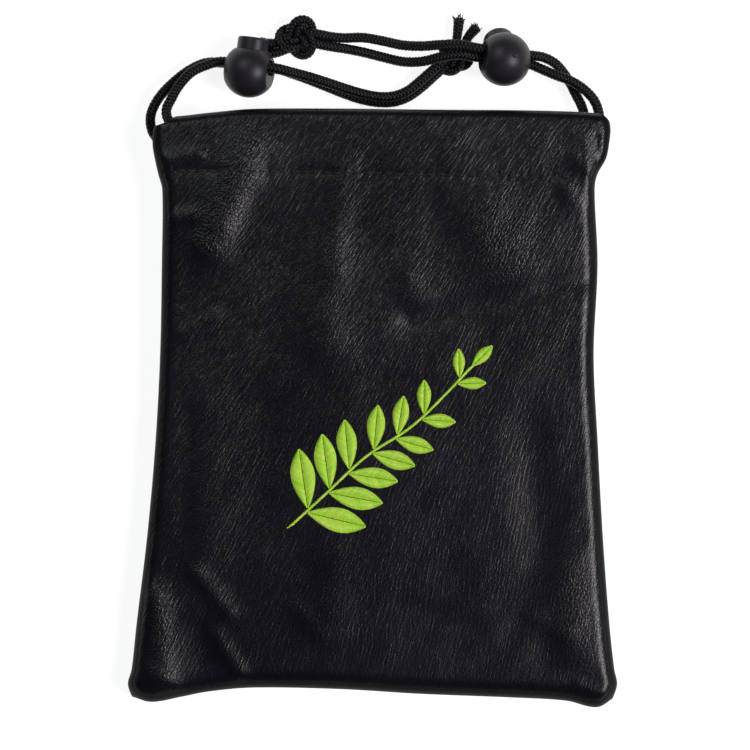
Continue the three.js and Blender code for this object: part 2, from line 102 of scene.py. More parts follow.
SIDES = (
    Side(93.6, -67.2, 74.4),
    Side(90.2, -69.5, 75.8),
    Side(84.5, -70.1, 75.4),
    Side(79.7, -69.4, 74.4),
    Side(74.9, -68.4, 71.8),
    Side(70.1, -67.2, 71.0),
    Side(46.1, -67.4, 72.0),
    Side(17.3, -68.0, 70.8),
    Side(-11.5, -69.6, 72.2),
    Side(-40.3, -72.2, 73.8),
    Side(-69.1, -75.7, 76.0),
    Side(-83.5, -77.3, 77.6),
    Side(-88.3, -78.5, 78.5),
    Side(-94.0, -76.6, 76.8),
)

LENGTHS = (
    Length(-78, -92.0, 93.2, 75.6),
    Length(-71, -94.0, 93.2, 75.6),
    Length(-62, -92.5, 93.3, 75.8),
    Length(-52, -90.6, 94.4, 75.8),
    Length(-38, -89.4, 95.6, 75.6),
    Length(-10, -89.9, 95.7, 75.2),
    Length(15, -91.4, 95.4, 74.6),
    Length(45, -92.6, 95.2, 74.0),
    Length(62, -93.6, 94.8, 73.6),
    Length(72, -95.7, 94.2, 73.6),
    Length(78, -92.4, 93.6, 73.6),
)

HEIGHTS = (
    Height(-96, 13.2, 3.15, 2.85, 5.6),
    Height(-60, 13.8, 4.25, 3.95, 5.6),
    Height(0, 14.6, 6.1, 5.8, 5.6),
    Height(50, 16.2, 7.65, 7.35, 5.6),
    Height(64, 17.0, 8.1, 7.8, 5.4),
    Height(73, 17.6, 8.9, 7.2, 5.2),
    Height(82.5, 18.0, 12.6, 2.4, 5),
    Height(97, 18.0, 12.6, 2.0, 5),
)

# Soft folds of the whole front
FOLDS = (
    Fold(-40, 84, -52, 53, 6.2, 1.35),
    Fold(-10, 76, -12, 45, 4.5, 0.45),
    Fold(-13, 45, -14, 22, 8, 0.55),
    Fold(21, 62, 24, 54, 8, -0.4),
    Fold(38, 56, 43, 50, 14, 1.0),
    Fold(11, 43, 14, 36, 5, 0.5),
    Fold(12, 28, 70, 42, 4.2, -0.85),
    Fold(50, -8, 54, -46, 7, -0.55),
    Fold(-54, 8, -53, -46, 6, 0.3),
    Fold(-31, 40, -34, -30, 9, -0.4),
    Fold(-69, -60, -67, -84, 4.6, 0.95),
    Fold(-55, -72, -54, -80, 5, -0.5),
    Fold(-13, -40, -12, -70, 6, 0.25),
    Fold(36, -52, 37, -72, 7, 0.25),
    Fold(58, -80, 65, -85, 7, -0.6),
    Fold(63, -50, 65, -80, 7.5, 0.8),
)

# Small creases of the outer face alone
CREASES = (
    Fold(-67, 79.5, -55, 81, 2.3, 0.6),
    Fold(-67, 60, -57, 62, 2.3, 0.6),
    Fold(-60, 24, -50, 30, 2.4, 0.4),
    Fold(-38.5, 74, -47, 58, 3.0, 0.45),
    Fold(-9.5, 57, -3, 59, 0.6, -0.3),
    Fold(67, 86, 70, 66, 1.6, 0.45),
    Fold(71, 90, 73, 56, 1.2, -0.4),
    Fold(64.5, 81, 65.5, 78, 2.4, 0.45),
    Fold(62, 71, 63.5, 67, 3.0, 0.45),
    Fold(-58, -2, -60, -40, 3.0, -0.25),
    Fold(-24, -64, -16, -72, 3.0, 0.25),
    Fold(-56, -52, -46, -64, 3.0, 0.6),
    Fold(-50, -72, -42, -84, 2.6, 0.5),
    Fold(10, -62, 34, -70, 3.4, -0.2),
    Fold(50, -66, 62, -72, 2.6, 0.2),
    Fold(-70, -84, -62, -89, 2.2, 0.35),
    Fold(66, -88, 74, -91, 2.0, 0.35),
)


class Column:
    """A smooth curve through one column of a table."""

    def __init__(self, keys: Sequence[float], values: Sequence[float]) -> None:
        """Sort the rows by key and find the slope at each.

        Args:
            keys: The column that the table is read by.
            values: The column that is read.
        """
        order = np.argsort(keys)
        self.keys = np.asarray(keys, float)[order]
        self.values = np.asarray(values, float)[order]
        rows = np.arange(len(order))
        before = np.maximum(rows - 1, 0)
        after = np.minimum(rows + 1, rows[-1])
        rise = self.values[after] - self.values[before]
        self.slopes = rise / (self.keys[after] - self.keys[before])

    def __call__(self, at: Array) -> Array:
        """Read the curve.

        Args:
            at: Keys to read at; beyond the table the end rows hold.

        Returns:
            The column's values there.
        """
        at = np.clip(np.asarray(at, float), self.keys[0], self.keys[-1])
        i = np.clip(np.searchsorted(self.keys, at, side="right") - 1, 0, len(self.keys) - 2)
        span = self.keys[i + 1] - self.keys[i]
        t = (at - self.keys[i]) / span
        rest = 1 - t
        low, high = (1 + 2 * t) * rest * rest, t * t * (3 - 2 * t)
        ends = low * self.values[i] + high * self.values[i + 1]
        return ends + span * t * rest * (rest * self.slopes[i] - t * self.slopes[i + 1])


def column_of(rows: Sequence[NamedTuple], key: str, value: str) -> Any:
    """A dataclass field that holds one column of a table, read by its key."""
    return field(default_factory=lambda: Column(
        [getattr(row, key) for row in rows], [getattr(row, value) for row in rows]))


def smooth(part: Array) -> Array:
    """Ease from 0 to 1, level at both ends."""
    part = np.clip(part, 0, 1)
    return part * part * (3 - 2 * part)


def unit(vectors: Array) -> Array:
    """The same directions, each with length 1."""
    return vectors / (np.linalg.norm(vectors, axis=-1, keepdims=True) + TINY)


def run_along(line: Array) -> Array:
    """Length from the start of a line to each of its points."""
    return np.concatenate([[0.0], np.cumsum(np.linalg.norm(np.diff(line, axis=0), axis=1))])


def even_steps(line: Array, count: Array, steps: Array) -> Array:
    """Places on a line where a count that grows along it reaches the given steps."""
    return np.column_stack([np.interp(steps, count, line[:, i]) for i in range(3)])


def cross_frame(line: Array, up: Array) -> tuple[Array, Array]:
    """The two directions across a line.

    Args:
        line: Points along it.
        up: Direction that the second one keeps to.

    Returns:
        Sideways and upward direction at each point.
    """
    way = unit(np.gradient(line, axis=0))
    side = unit(np.cross(way, up))
    return side, np.cross(side, way)


def ring_turns(sides: int) -> Array:
    """Angles round a tube."""
    return 2 * math.pi * np.arange(sides) / sides


def tube_quads(rings: int, sides: int) -> Array:
    """Quads of a tube whose corners are numbered ring by ring.

    Args:
        rings: How many rings.
        sides: Corners of a ring.

    Returns:
        Four corner numbers for each quad.
    """
    grid = np.arange(rings * sides).reshape(rings, sides)
    step = np.roll(grid, -1, axis=1)
    return np.stack([grid[:-1], step[:-1], step[1:], grid[1:]], -1).reshape(-1, 4)


def fold_sum(folds: Sequence[Fold], x: Array, y: Array) -> Array:
    """Add up ridges and dents.

    Args:
        folds: The lines and their rises.
        x: Places across.
        y: Places along.

    Returns:
        The rise at each place.
    """
    total = np.zeros(np.broadcast(x, y).shape)
    for fold in folds:
        dx, dy = fold.x2 - fold.x1, fold.y2 - fold.y1
        along = ((x - fold.x1) * dx + (y - fold.y1) * dy) / (dx * dx + dy * dy)
        along = np.clip(along, 0, 1)
        away = np.hypot(x - fold.x1 - along * dx, y - fold.y1 - along * dy) / fold.width
        total = total + fold.rise * np.exp(-away * away)
    return total


def ripple(x: Array, y: Array, size: float, salt: float) -> Array:
    """Smooth seeded noise from about -1 to 1; size is a ripple's length, salt the pattern."""
    flat = zip(np.ravel(x) / size, np.ravel(y) / size)
    return np.array([noise.noise(Vector((a, b, salt))) for a, b in flat]).reshape(np.shape(x))


class PanelSide(Enum):
    """Which of the two leather panels."""

    FRONT = "front"
    BACK = "back"


@dataclass(frozen=True)
class PouchForm:
    """The shape that both panels follow."""

    leather: float = 1.2
    seam_gap: float = 0.3
    bottom_round: float = 7.5
    back_round: float = 7.0
    front_power: float = 2.6
    back_power: float = 2.0
    fold_fade: float = 14.0
    casing: float = 6.2
    hem_left: float = -58.5
    hem_right: float = 61.5
    hem_flat: float = 14.0
    hem_lift: float = 2.0
    hem_lap: float = 1.0
    open_draw: float = 0.5
    square_draw: float = 1.5
    stitch_dip: float = 0.13
    stitch_dip_width: float = 1.3
    stitch_pitch: float = 3.3
    needle_dip: float = 0.18
    needle_width: float = 0.9
    pucker: float = 0.17
    pucker_size: float = 4.2
    pucker_stretch: float = 0.25
    pucker_reach: float = 6.0
    slack: float = 0.22
    slack_size: float = 17.0
    grain_slack: float = 0.13
    grain_slack_size: float = 6.0
    grain_stretch: float = 0.4
    grain_turn: float = 57.0
    relief_fade: float = 5.0
    upper_lane: float = 90.0
    left: Column = column_of(SIDES, "y", "left")
    right: Column = column_of(SIDES, "y", "right")
    bottom: Column = column_of(LENGTHS, "x", "bottom")
    top: Column = column_of(LENGTHS, "x", "top")
    stitch: Column = column_of(LENGTHS, "x", "stitch")
    crown: Column = column_of(HEIGHTS, "y", "crown")
    front_edge: Column = column_of(HEIGHTS, "y", "front_edge")
    back_edge: Column = column_of(HEIGHTS, "y", "back_edge")
    front_round: Column = column_of(HEIGHTS, "y", "round")

    def inside_share(self, side: PanelSide, x: Array, y: Array, inset: float) -> Array:
        """Share of full height at a place, from 0 at the outline to 1 inside it.

        Args:
            side: Which panel.
            x: Places across.
            y: Places along.
            inset: How far the outline is drawn in.

        Returns:
            The share at each place.
        """
        front = side is PanelSide.FRONT
        side_round = self.front_round(y) if front else self.back_round
        low_round = self.bottom_round if front else self.back_round
        power = self.front_power if front else self.back_power
        inside = np.minimum(x - self.left(y), self.right(y) - x) - inset
        across = np.clip(inside / side_round, 0, 1)
        low = np.clip((y - self.bottom(x) - inset) / low_round, 0, 1)
        return ((1 - (1 - across) ** power) * (1 - (1 - low) ** power)) ** (1 / power)

    def front_height(self, x: Array, y: Array, inset: float) -> Array:
        """Height of the front's outer face, or with an inset of its inner face.

        Args:
            x: Places across.
            y: Places along.
            inset: 0 for the outer face, the leather's thickness for the inner one.

        Returns:
            The height at each place.
        """
        dip = self.stitch_dip * np.exp(-(((y - self.stitch(x)) / self.stitch_dip_width) ** 2))
        below = np.clip((self.fold_centre(x) - y) / self.fold_fade, 0, 1)
        top = self.crown(y) + fold_sum(FOLDS, x, y) * below - dip - inset
        share = self.inside_share(PanelSide.FRONT, x, y, inset)
        return self.front_edge(y) + (top - self.front_edge(y)) * share

    def back_height(self, x: Array, y: Array, inset: float) -> Array:
        """Height of the back's outer face, flat but for its rounded edges."""
        share = self.inside_share(PanelSide.BACK, x, y, inset)
        return self.back_edge(y) + (inset - self.back_edge(y)) * share

    def fold_centre(self, x: Array) -> Array:
        """Centre line of the half round at the mouth."""
        return self.top(x) - self.casing / 2

    def stitch_wave(self, x: Array) -> Array:
        """1 where the needle went in, 0 half way along a stitch."""
        return 0.5 + 0.5 * np.cos(2 * math.pi * np.asarray(x) / self.stitch_pitch)

    def relief(self, x: Array, y: Array) -> Array:
        """Small creases, puckers and slack of the front's outer face.

        Args:
            x: Places across.
            y: Places along.

        Returns:
            How far the leather stands off the smooth form.
        """
        off_line = y - self.stitch(x)
        hole = np.exp(-((off_line / self.needle_width) ** 2))
        tight = np.exp(-((off_line / self.pucker_reach) ** 2))
        needle = -self.needle_dip * self.stitch_wave(x) * hole
        pull = ripple(x, y * self.pucker_stretch, self.pucker_size, salt=3.1) * tight * self.pucker
        turn = math.radians(self.grain_turn)
        u = x * math.cos(turn) + y * math.sin(turn)
        v = y * math.cos(turn) - x * math.sin(turn)
        wide = self.slack * ripple(x, y, self.slack_size, salt=1.7)
        fine = ripple(u * self.grain_stretch, v, self.grain_slack_size, salt=5.3)
        slack = wide + self.grain_slack * fine
        fade = np.clip((self.fold_centre(x) - y) / self.relief_fade, 0, 1)
        share = self.inside_share(PanelSide.FRONT, x, y, 0.0)
        return (fold_sum(CREASES, x, y) + needle + pull + slack) * fade * share

    def front_face(self, x: Array, y: Array) -> Array:
        """Height of the front as it shows, with its creases."""
        return self.front_height(x, y, 0.0) + self.relief(x, y)


def new_piece(name: str, points: Array, faces: Sequence[Sequence[int]],
              sharp: float = 50.0) -> bpy.types.Object:
    """Make a smooth mesh object.

    Args:
        name: The piece's name.
        points: Corners in millimetres.
        faces: Corner numbers of each face.
        sharp: Edges that bend by more than this many degrees stay sharp.

    Returns:
        The object, at the origin.
    """
    mesh = bpy.data.meshes.new(name)
    mesh.from_pydata((np.asarray(points) * MM).tolist(), [], faces)
    mesh.validate()
    mesh.shade_smooth()
    mesh.set_sharp_from_angle(angle=math.radians(sharp))
    return placed(name, mesh)


def placed(name: str, data: bpy.types.ID) -> bpy.types.Object:
    """An object of a mesh, lamp or camera, in the scene.

    Args:
        name: The object's name.
        data: The mesh, lamp or camera.

    Returns:
        The object.
    """
    made = bpy.data.objects.new(name, data)
    bpy.context.scene.collection.objects.link(made)
    return made


def add_numbers(piece: bpy.types.Object, **columns: Array) -> None:
    """Store numbers at each corner, by name, for the piece's finish to read.

    Args:
        piece: The piece.
        **columns: A number for each corner, by name.
    """
    for name, values in columns.items():
        attribute = piece.data.attributes.new(name, "FLOAT", "POINT")
        attribute.data.foreach_set("value", np.asarray(values, np.float32).ravel())


def settle(piece: bpy.types.Object, body: str,
           material: bpy.types.Material) -> bpy.types.Object:
    """Dress a piece and let it ride on its body.

    Args:
        piece: The finished mesh object.
        body: The body that it moves with.
        material: Its finish.

    Returns:
        The same piece.
    """
    piece.data.materials.clear()
    piece.data.materials.append(material)
    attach(piece, body)
    return piece


class Value:
    """A shader socket that takes part in Python expressions."""

    def __init__(self, shader: Shader, socket: bpy.types.NodeSocket) -> None:
        """Keep the socket and the shader that it belongs to."""
        self.shader = shader
        self.socket = socket

    def __add__(self, other: Number) -> Value:
        """Sum."""
        return self.shader.math("ADD", self, other)

    __radd__ = __add__

    def __mul__(self, other: Number) -> Value:
        """Product."""
        return self.shader.math("MULTIPLY", self, other)

    __rmul__ = __mul__

    def __sub__(self, other: Number) -> Value:
        """Difference."""
        return self.shader.math("SUBTRACT", self, other)

    def __rsub__(self, other: Number) -> Value:
        """Difference from a number."""
        return self.shader.math("SUBTRACT", other, self)

    def __pow__(self, other: Number) -> Value:
        """Power."""
        return self.shader.math("POWER", self, other)

    def __abs__(self) -> Value:
        """Size without sign."""
        return self.shader.math("ABSOLUTE", self)


Number = Value | float
Stops = Sequence[tuple[float, float]]


class Shader:
    """The nodes of one material."""

    def __init__(self, name: str) -> None:
        """Start an empty material.

        Args:
            name: The material's name.
        """
        self.material = bpy.data.materials.new(name)
        self.material.use_nodes = True
        self.tree = self.material.node_tree
        self.tree.nodes.clear()

    def node(self, kind: str, settings: Mapping[str, Any],
             sockets: Mapping[str | int, Any]) -> bpy.types.Node:
        """Add one node.

        Args:
            kind: The node's type.
            settings: Its settings, set first; stops are a ramp's places and greys.
            sockets: Values or links of its inputs.

        Returns:
            The node.
        """
        node = self.tree.nodes.new(kind)
        for key, value in settings.items():
            if key == "stops":
                self.set_stops(node.color_ramp, value)
            else:
                setattr(node, key, value)
        for key, value in sockets.items():
            if isinstance(value, Value):
                self.tree.links.new(value.socket, node.inputs[key])
            else:
                node.inputs[key].default_value = value
        return node

    def add(self, kind: str, settings: Mapping[str, Any], sockets: Mapping[str | int, Any],
            output: str | int = 0) -> Value:
        """Add one node and go on with one of its outputs."""
        return Value(self, self.node(kind, settings, sockets).outputs[output])

    @staticmethod
    def set_stops(ramp: bpy.types.ColorRamp, stops: Stops) -> None:
        """Give a ramp its grey stops.

        Args:
            ramp: The ramp.
            stops: Its places and greys.
        """
        while len(ramp.elements) < len(stops):
            ramp.elements.new(1.0)
        for element, (place, grey) in zip(ramp.elements, stops):
            element.position = place
            element.color = (grey, grey, grey, 1.0)

    def math(self, operation: str, *values: Number) -> Value:
        """A Math node on values."""
        return self.add("ShaderNodeMath", {"operation": operation}, dict(enumerate(values)))

    def place(self) -> tuple[Value, Value, Value]:
        """Place on the object, in millimetres, as three values.

        Returns:
            The places across, along and up.
        """
        where = self.add("ShaderNodeTexCoord", {}, {}, "Object")
        sockets = {0: where, "Scale": 1 / MM}
        where = self.add("ShaderNodeVectorMath", {"operation": "SCALE"}, sockets)
        parts = self.node("ShaderNodeSeparateXYZ", {}, {0: where}).outputs
        return Value(self, parts[0]), Value(self, parts[1]), Value(self, parts[2])

    def stored(self, name: str) -> Value:
        """A number that is stored at the piece's corners."""
        return self.add("ShaderNodeAttribute", {"attribute_name": name}, {}, "Fac")

    def vector(self, x: Number, y: Number, z: Number) -> Value:
        """Three values as a vector."""
        return self.add("ShaderNodeCombineXYZ", {}, {0: x, 1: y, 2: z})

    def noise(self, at: Value, scale: float, detail: float = 2.0, rough: float = 0.5) -> Value:
        """Noise from 0 to 1 at a place."""
        sockets = {"Vector": at, "Scale": scale, "Detail": detail, "Roughness": rough}
        return self.add("ShaderNodeTexNoise", {}, sockets, "Fac")

    def borders(self, at: Value) -> Value:
        """Distance to the nearest border between scattered cells."""
        settings = {"feature": "DISTANCE_TO_EDGE"}
        return self.add("ShaderNodeTexVoronoi", settings, {"Vector": at, "Scale": 1.0}, "Distance")

    def ramp(self, value: Value, stops: Stops) -> Value:
        """A value through grey stops."""
        return self.add("ShaderNodeValToRGB", {"stops": stops}, {0: value})

    def blend(self, share: Value, low: Colour, high: Colour) -> Value:
        """A colour between two."""
        sockets = {0: share, 6: (*low, 1.0), 7: (*high, 1.0)}
        return self.add("ShaderNodeMix", {"data_type": "RGBA"}, sockets, 2)

    def bump(self, height: Value, strength: float, depth: float) -> Value:
        """A normal from a height; depth is in millimetres."""
        sockets = {"Strength": strength, "Distance": depth * MM, "Height": height}
        return self.add("ShaderNodeBump", {}, sockets)

    def surface(self, colour: Value, roughness: Value, shine: float,
                more: Mapping[str, Any]) -> Value:
        """A principled surface; more holds values or links of its other inputs."""
        sockets = {"Base Color": colour, "Roughness": roughness, "Specular IOR Level": shine}
        return self.add("ShaderNodeBsdfPrincipled", {}, {**sockets, **more})

    def close(self, surface: Value) -> bpy.types.Material:
        """Finish with a surface and return the material."""
        self.node("ShaderNodeOutputMaterial", {}, {"Surface": surface})
        return self.material


@dataclass(frozen=True)
class LeatherFinish:
    """Soft black leather with a pebbled grain, drawn out into hair-fine slanting streaks.

    The streaks lean over by lean, more of it with height and less to the right. Where the leather
    bulges over a fold the pebbles stand out, and where it turns down into a seam it is dull.
    """

    name: str = "black_leather"
    dark: Colour = (0.0018, 0.0017, 0.0034)
    pale: Colour = (0.0042, 0.004, 0.0068)
    roughness: float = 0.3
    shine: float = 0.35
    edge_roughness: float = 0.6
    edge_shine: float = 0.075
    lean: float = 0.56
    lean_up: float = 0.0042
    lean_right: float = -0.0038
    layers: tuple[float, ...] = (0.8, 0.5, 0.2)
    layer_step: float = 0.3
    layer_apart: float = 9.0
    sway: float = 1.0
    sway_scale: float = 0.07
    streak_along: float = 0.17
    streak_across: float = 1.55
    streak_deep: float = 0.3
    streak_detail: float = 1.5
    streak_stops: Stops = ((0.36, 0.0), (0.64, 1.0))
    # Share of the colour that follows the streak height: painted shade, darker in the streaks'
    # valleys and paler on their ridges.
    streak_painted_shade: float = 0.5
    tone_stops: Stops = ((0.35, 0.0), (0.7, 1.0))
    patch_scale: float = 0.035
    patch_detail: float = 3.0
    pore_scale: float = 4.5
    pebble_scale: Point = (0.9, 0.85, 0.6)
    pebble_skew: float = 0.45
    crease: float = 0.3
    depth: float = 0.2
    streak_height: float = 0.22
    lean_strength: tuple[float, float] = (0.4, 1.25)
    patch_strength: tuple[float, float] = (0.6, 0.8)
    bulge_calm: float = 0.5
    pebble_height: float = 0.1
    bulge_height: float = 0.24
    pore_height: float = 0.02
    patch_rough: float = 0.12
    pore_rough: float = 0.08
    crease_rough: float = 0.06
    edge_pore_rough: float = 0.1

    def streaks(self, s: Shader, x: Value, y: Value, z: Value, lean: Value) -> Value:
        """Fine streaks that follow the lean.

        Args:
            s: The material.
            x: Place across.
            y: Place along.
            z: Height.
            lean: How far the streaks lean over at each place.

        Returns:
            The pattern, from 0 to 1.
        """
        bend = 2 * self.sway * (s.noise(s.vector(x, y, z), self.sway_scale) - 0.5)
        drawn: Number = 0.0
        power: Number = 0.0
        for layer in self.layers:
            share = s.math("MAXIMUM", 1 - abs(lean - layer) * (1 / self.layer_step), 0.0)
            turn = math.hypot(1.0, layer)
            across = (x - layer * y) * (1 / turn) + bend
            along = (y + layer * x) * (1 / turn)
            deep = z * self.streak_deep + self.layer_apart * layer
            at = s.vector(along * self.streak_along, across * self.streak_across, deep)
            drawn = share * (s.noise(at, 1.0, self.streak_detail) - 0.5) + drawn
            power = share * share + power
        return drawn * power**-0.5 + 0.5

    def pebbles(self, s: Shader, x: Value, y: Value, z: Value) -> Value:
        """Rounded pebbles with narrow creases between them, from 0 to 1.

        Args:
            s: The material.
            x: Place across.
            y: Place along.
            z: Height.

        Returns:
            The pattern.
        """
        wide, tall, deep = self.pebble_scale
        at = s.vector(x * wide - self.pebble_skew * y, y * tall, z * deep)
        rest = 1 - s.math("MINIMUM", s.borders(at) * (1 / self.crease), 1.0)
        return 1 - rest * rest

    def material(self) -> bpy.types.Material:
        """Build the finish.

        Returns:
            The material.
        """
        s = Shader(self.name)
        x, y, z = s.place()
        at = s.vector(x, y, z)
        patch = s.noise(at, self.patch_scale, self.patch_detail)
        pores = s.noise(at, self.pore_scale)
        bulge = s.stored("bulge")
        lean = self.lean + self.lean_up * y + self.lean_right * x
        lean = s.math("MINIMUM", s.math("MAXIMUM", lean, self.layers[-1]), self.layers[0])
        hair = self.streaks(s, x, y, z, lean)
        pebble = self.pebbles(s, x, y, z)
        upright, leaning = self.lean_strength
        least, patchy = self.patch_strength
        strength = (upright + leaning * lean) * (least + patchy * patch)
        strength = strength * (1 - self.bulge_calm * bulge)
        height = (self.streak_height * strength * s.ramp(hair, self.streak_stops)
                  + (self.pebble_height + self.bulge_height * bulge) * pebble
                  + self.pore_height * pores)
        # Colour mixes the leather's uneven tone in patches with painted shade from the streaks:
        # darker in their valleys, paler on their ridges.
        tone = (1 - self.streak_painted_shade) * patch + self.streak_painted_shade * hair
        colour = s.blend(s.ramp(tone, self.tone_stops), self.dark, self.pale)
        normal = {"Normal": s.bump(height, 1.0, self.depth)}
        worn = (self.roughness + self.patch_rough * (patch - 0.5)
                + self.pore_rough * (pores - 0.5) + self.crease_rough * (1 - pebble))
        polished = s.surface(colour, worn, self.shine, normal)
        matt = self.edge_roughness + self.edge_pore_rough * (pores - 0.5)
        dull = s.surface(colour, matt, self.edge_shine, normal)
        mix = {0: s.stored("edge"), 1: polished, 2: dull}
        return s.close(s.add("ShaderNodeMixShader", {}, mix))


@dataclass(frozen=True)
class BraidFinish:
    """Black nylon yarn, with fibres along each strand."""

    name: str = "black_braid"
    dark: Colour = (0.0018, 0.0018, 0.0024)
    pale: Colour = (0.0065, 0.0065, 0.0078)
    roughness: float = 0.48
    shine: float = 0.34
    sheen: float = 0.02
    sheen_roughness: float = 0.35
    fibre_along: float = 0.5
    fibre_around: float = 9.0
    fibre_apart: float = 31.0
    fibre_tone: float = 0.6
    fibre_rough: float = 0.25
    fibre_bump: float = 0.6
    fibre_depth: float = 0.06
    shade_stops: Stops = ((0.25, 0.0), (0.8, 1.0))

    def material(self) -> bpy.types.Material:
        """Build the finish.

        Returns:
            The material.
        """
        s = Shader(self.name)
        along, around, tone = s.stored("along"), s.stored("around"), s.stored("tone")
        at = s.vector(
            along * self.fibre_along, around * self.fibre_around, tone * self.fibre_apart)
        fibre = s.noise(at, 1.0)
        shade = fibre * self.fibre_tone + tone * (1 - self.fibre_tone)
        colour = s.blend(s.ramp(shade, self.shade_stops), self.dark, self.pale)
        worn = self.roughness + self.fibre_rough * (fibre - 0.5)
        return s.close(s.surface(colour, worn, self.shine, {
            "Sheen Weight": self.sheen,
            "Sheen Roughness": self.sheen_roughness,
            "Normal": s.bump(fibre, self.fibre_bump, self.fibre_depth),
        }))


@dataclass(frozen=True)
class PlasticFinish:
    """Satin black moulded plastic."""

    name: str = "satin_plastic"
    dark: Colour = (0.0135, 0.0115, 0.015)
    pale: Colour = (0.0215, 0.0185, 0.024)
    roughness: float = 0.42
    shine: float = 0.38
    cloud_scale: float = 0.25
    cloud_detail: float = 3.0
    cloud_rough: float = 0.12
    spark_scale: float = 9.0
    spark_share: float = 0.7
    rub_scale: Point = (0.4, 3.0, 0.4)
    rub_detail: float = 4.0
    rub_grit: float = 0.65
    rub_rough: float = 0.1
    mould_bump: float = 0.12
    mould_depth: float = 0.05

    def material(self) -> bpy.types.Material:
        """Build the finish.

        Returns:
            The material.
        """
        s = Shader(self.name)
        x, y, z = s.place()
        at = s.vector(x, y, z)
        cloud = s.noise(at, self.cloud_scale, self.cloud_detail)
        spark = s.noise(at, self.spark_scale)
        wide, tall, deep = self.rub_scale
        at = s.vector(x * wide, y * tall, z * deep)
        rub = s.noise(at, 1.0, self.rub_detail, self.rub_grit)
        colour = s.blend(cloud, self.dark, self.pale)
        worn = self.roughness + self.cloud_rough * (cloud - 0.5) + self.rub_rough * (rub - 0.5)
        height = spark * self.spark_share + rub * (1 - self.spark_share)
        normal = s.bump(height, self.mould_bump, self.mould_depth)
        return s.close(s.surface(colour, worn, self.shine, {"Normal": normal}))


@dataclass(frozen=True)
class ThreadFinish:
    """Sewing thread; each stitch has its own tone."""

    name: str
    dark: Colour
    pale: Colour
    roughness: float
    sheen: float
    shine: float = 0.5
    sheen_roughness: float = 0.3
    lint_scale: float = 2.2
    lint_detail: float = 3.0
    twist_along: float = 0.8
    twist_slant: float = 1.5
    twist_around: float = 5.0
    twist_apart: float = 17.0
    twist_rough: float = 0.2
    twist_bump: float = 0.5
    twist_depth: float = 0.05
    shade_shares: Point = (0.4, 0.35, 0.25)
    shade_stops: Stops = ((0.25, 0.0), (0.7, 1.0))

    def material(self) -> bpy.types.Material:
        """Build the finish.

        Returns:
            The material.
        """
        s = Shader(self.name)
        tone, along, around = s.stored("tone"), s.stored("along"), s.stored("around")
        lint = s.noise(s.vector(*s.place()), self.lint_scale, self.lint_detail)
        turned = along * self.twist_along + around * self.twist_slant
        at = s.vector(turned, around * self.twist_around, tone * self.twist_apart)
        twist = s.noise(at, 1.0)
        by_tone, by_twist, by_lint = self.shade_shares
        shade = by_tone * tone + by_twist * twist + by_lint * lint
        colour = s.blend(s.ramp(shade, self.shade_stops), self.dark, self.pale)
        worn = self.roughness + self.twist_rough * (twist - 0.5)
        return s.close(s.surface(colour, worn, self.shine, {
            "Sheen Weight": self.sheen,
            "Sheen Roughness": self.sheen_roughness,
            "Normal": s.bump(twist, self.twist_bump, self.twist_depth),
        }))


@dataclass(frozen=True)
class FloorFinish:
    """Plain pale table top."""

    name: str = "pale_floor"
    dark: Colour = (0.36, 0.36, 0.365)
    pale: Colour = (0.4, 0.4, 0.405)
    roughness: float = 0.7
    shine: float = 0.2
    cloud_scale: float = 0.02
    cloud_detail: float = 3.0
    cloud_rough: float = 0.1
    glow: float = 0.88
    glow_colour: Colour = (1.0, 1.0, 1.0)

    def material(self) -> bpy.types.Material:
        """Build the finish.

        Returns:
            The material.
        """
        s = Shader(self.name)
        cloud = s.noise(s.vector(*s.place()), self.cloud_scale, self.cloud_detail)
        colour = s.blend(cloud, self.dark, self.pale)
        worn = self.roughness + self.cloud_rough * cloud
        return s.close(s.surface(colour, worn, self.shine, {
            "Emission Color": (*self.glow_colour, 1.0),
            "Emission Strength": self.glow,
        }))


@dataclass(frozen=True)
class PanelMesh:
    """How finely a panel is meshed."""

    edge: int
    across: int
    bottom: int
    along: int
    casing: int
    fold: int
    hem: int


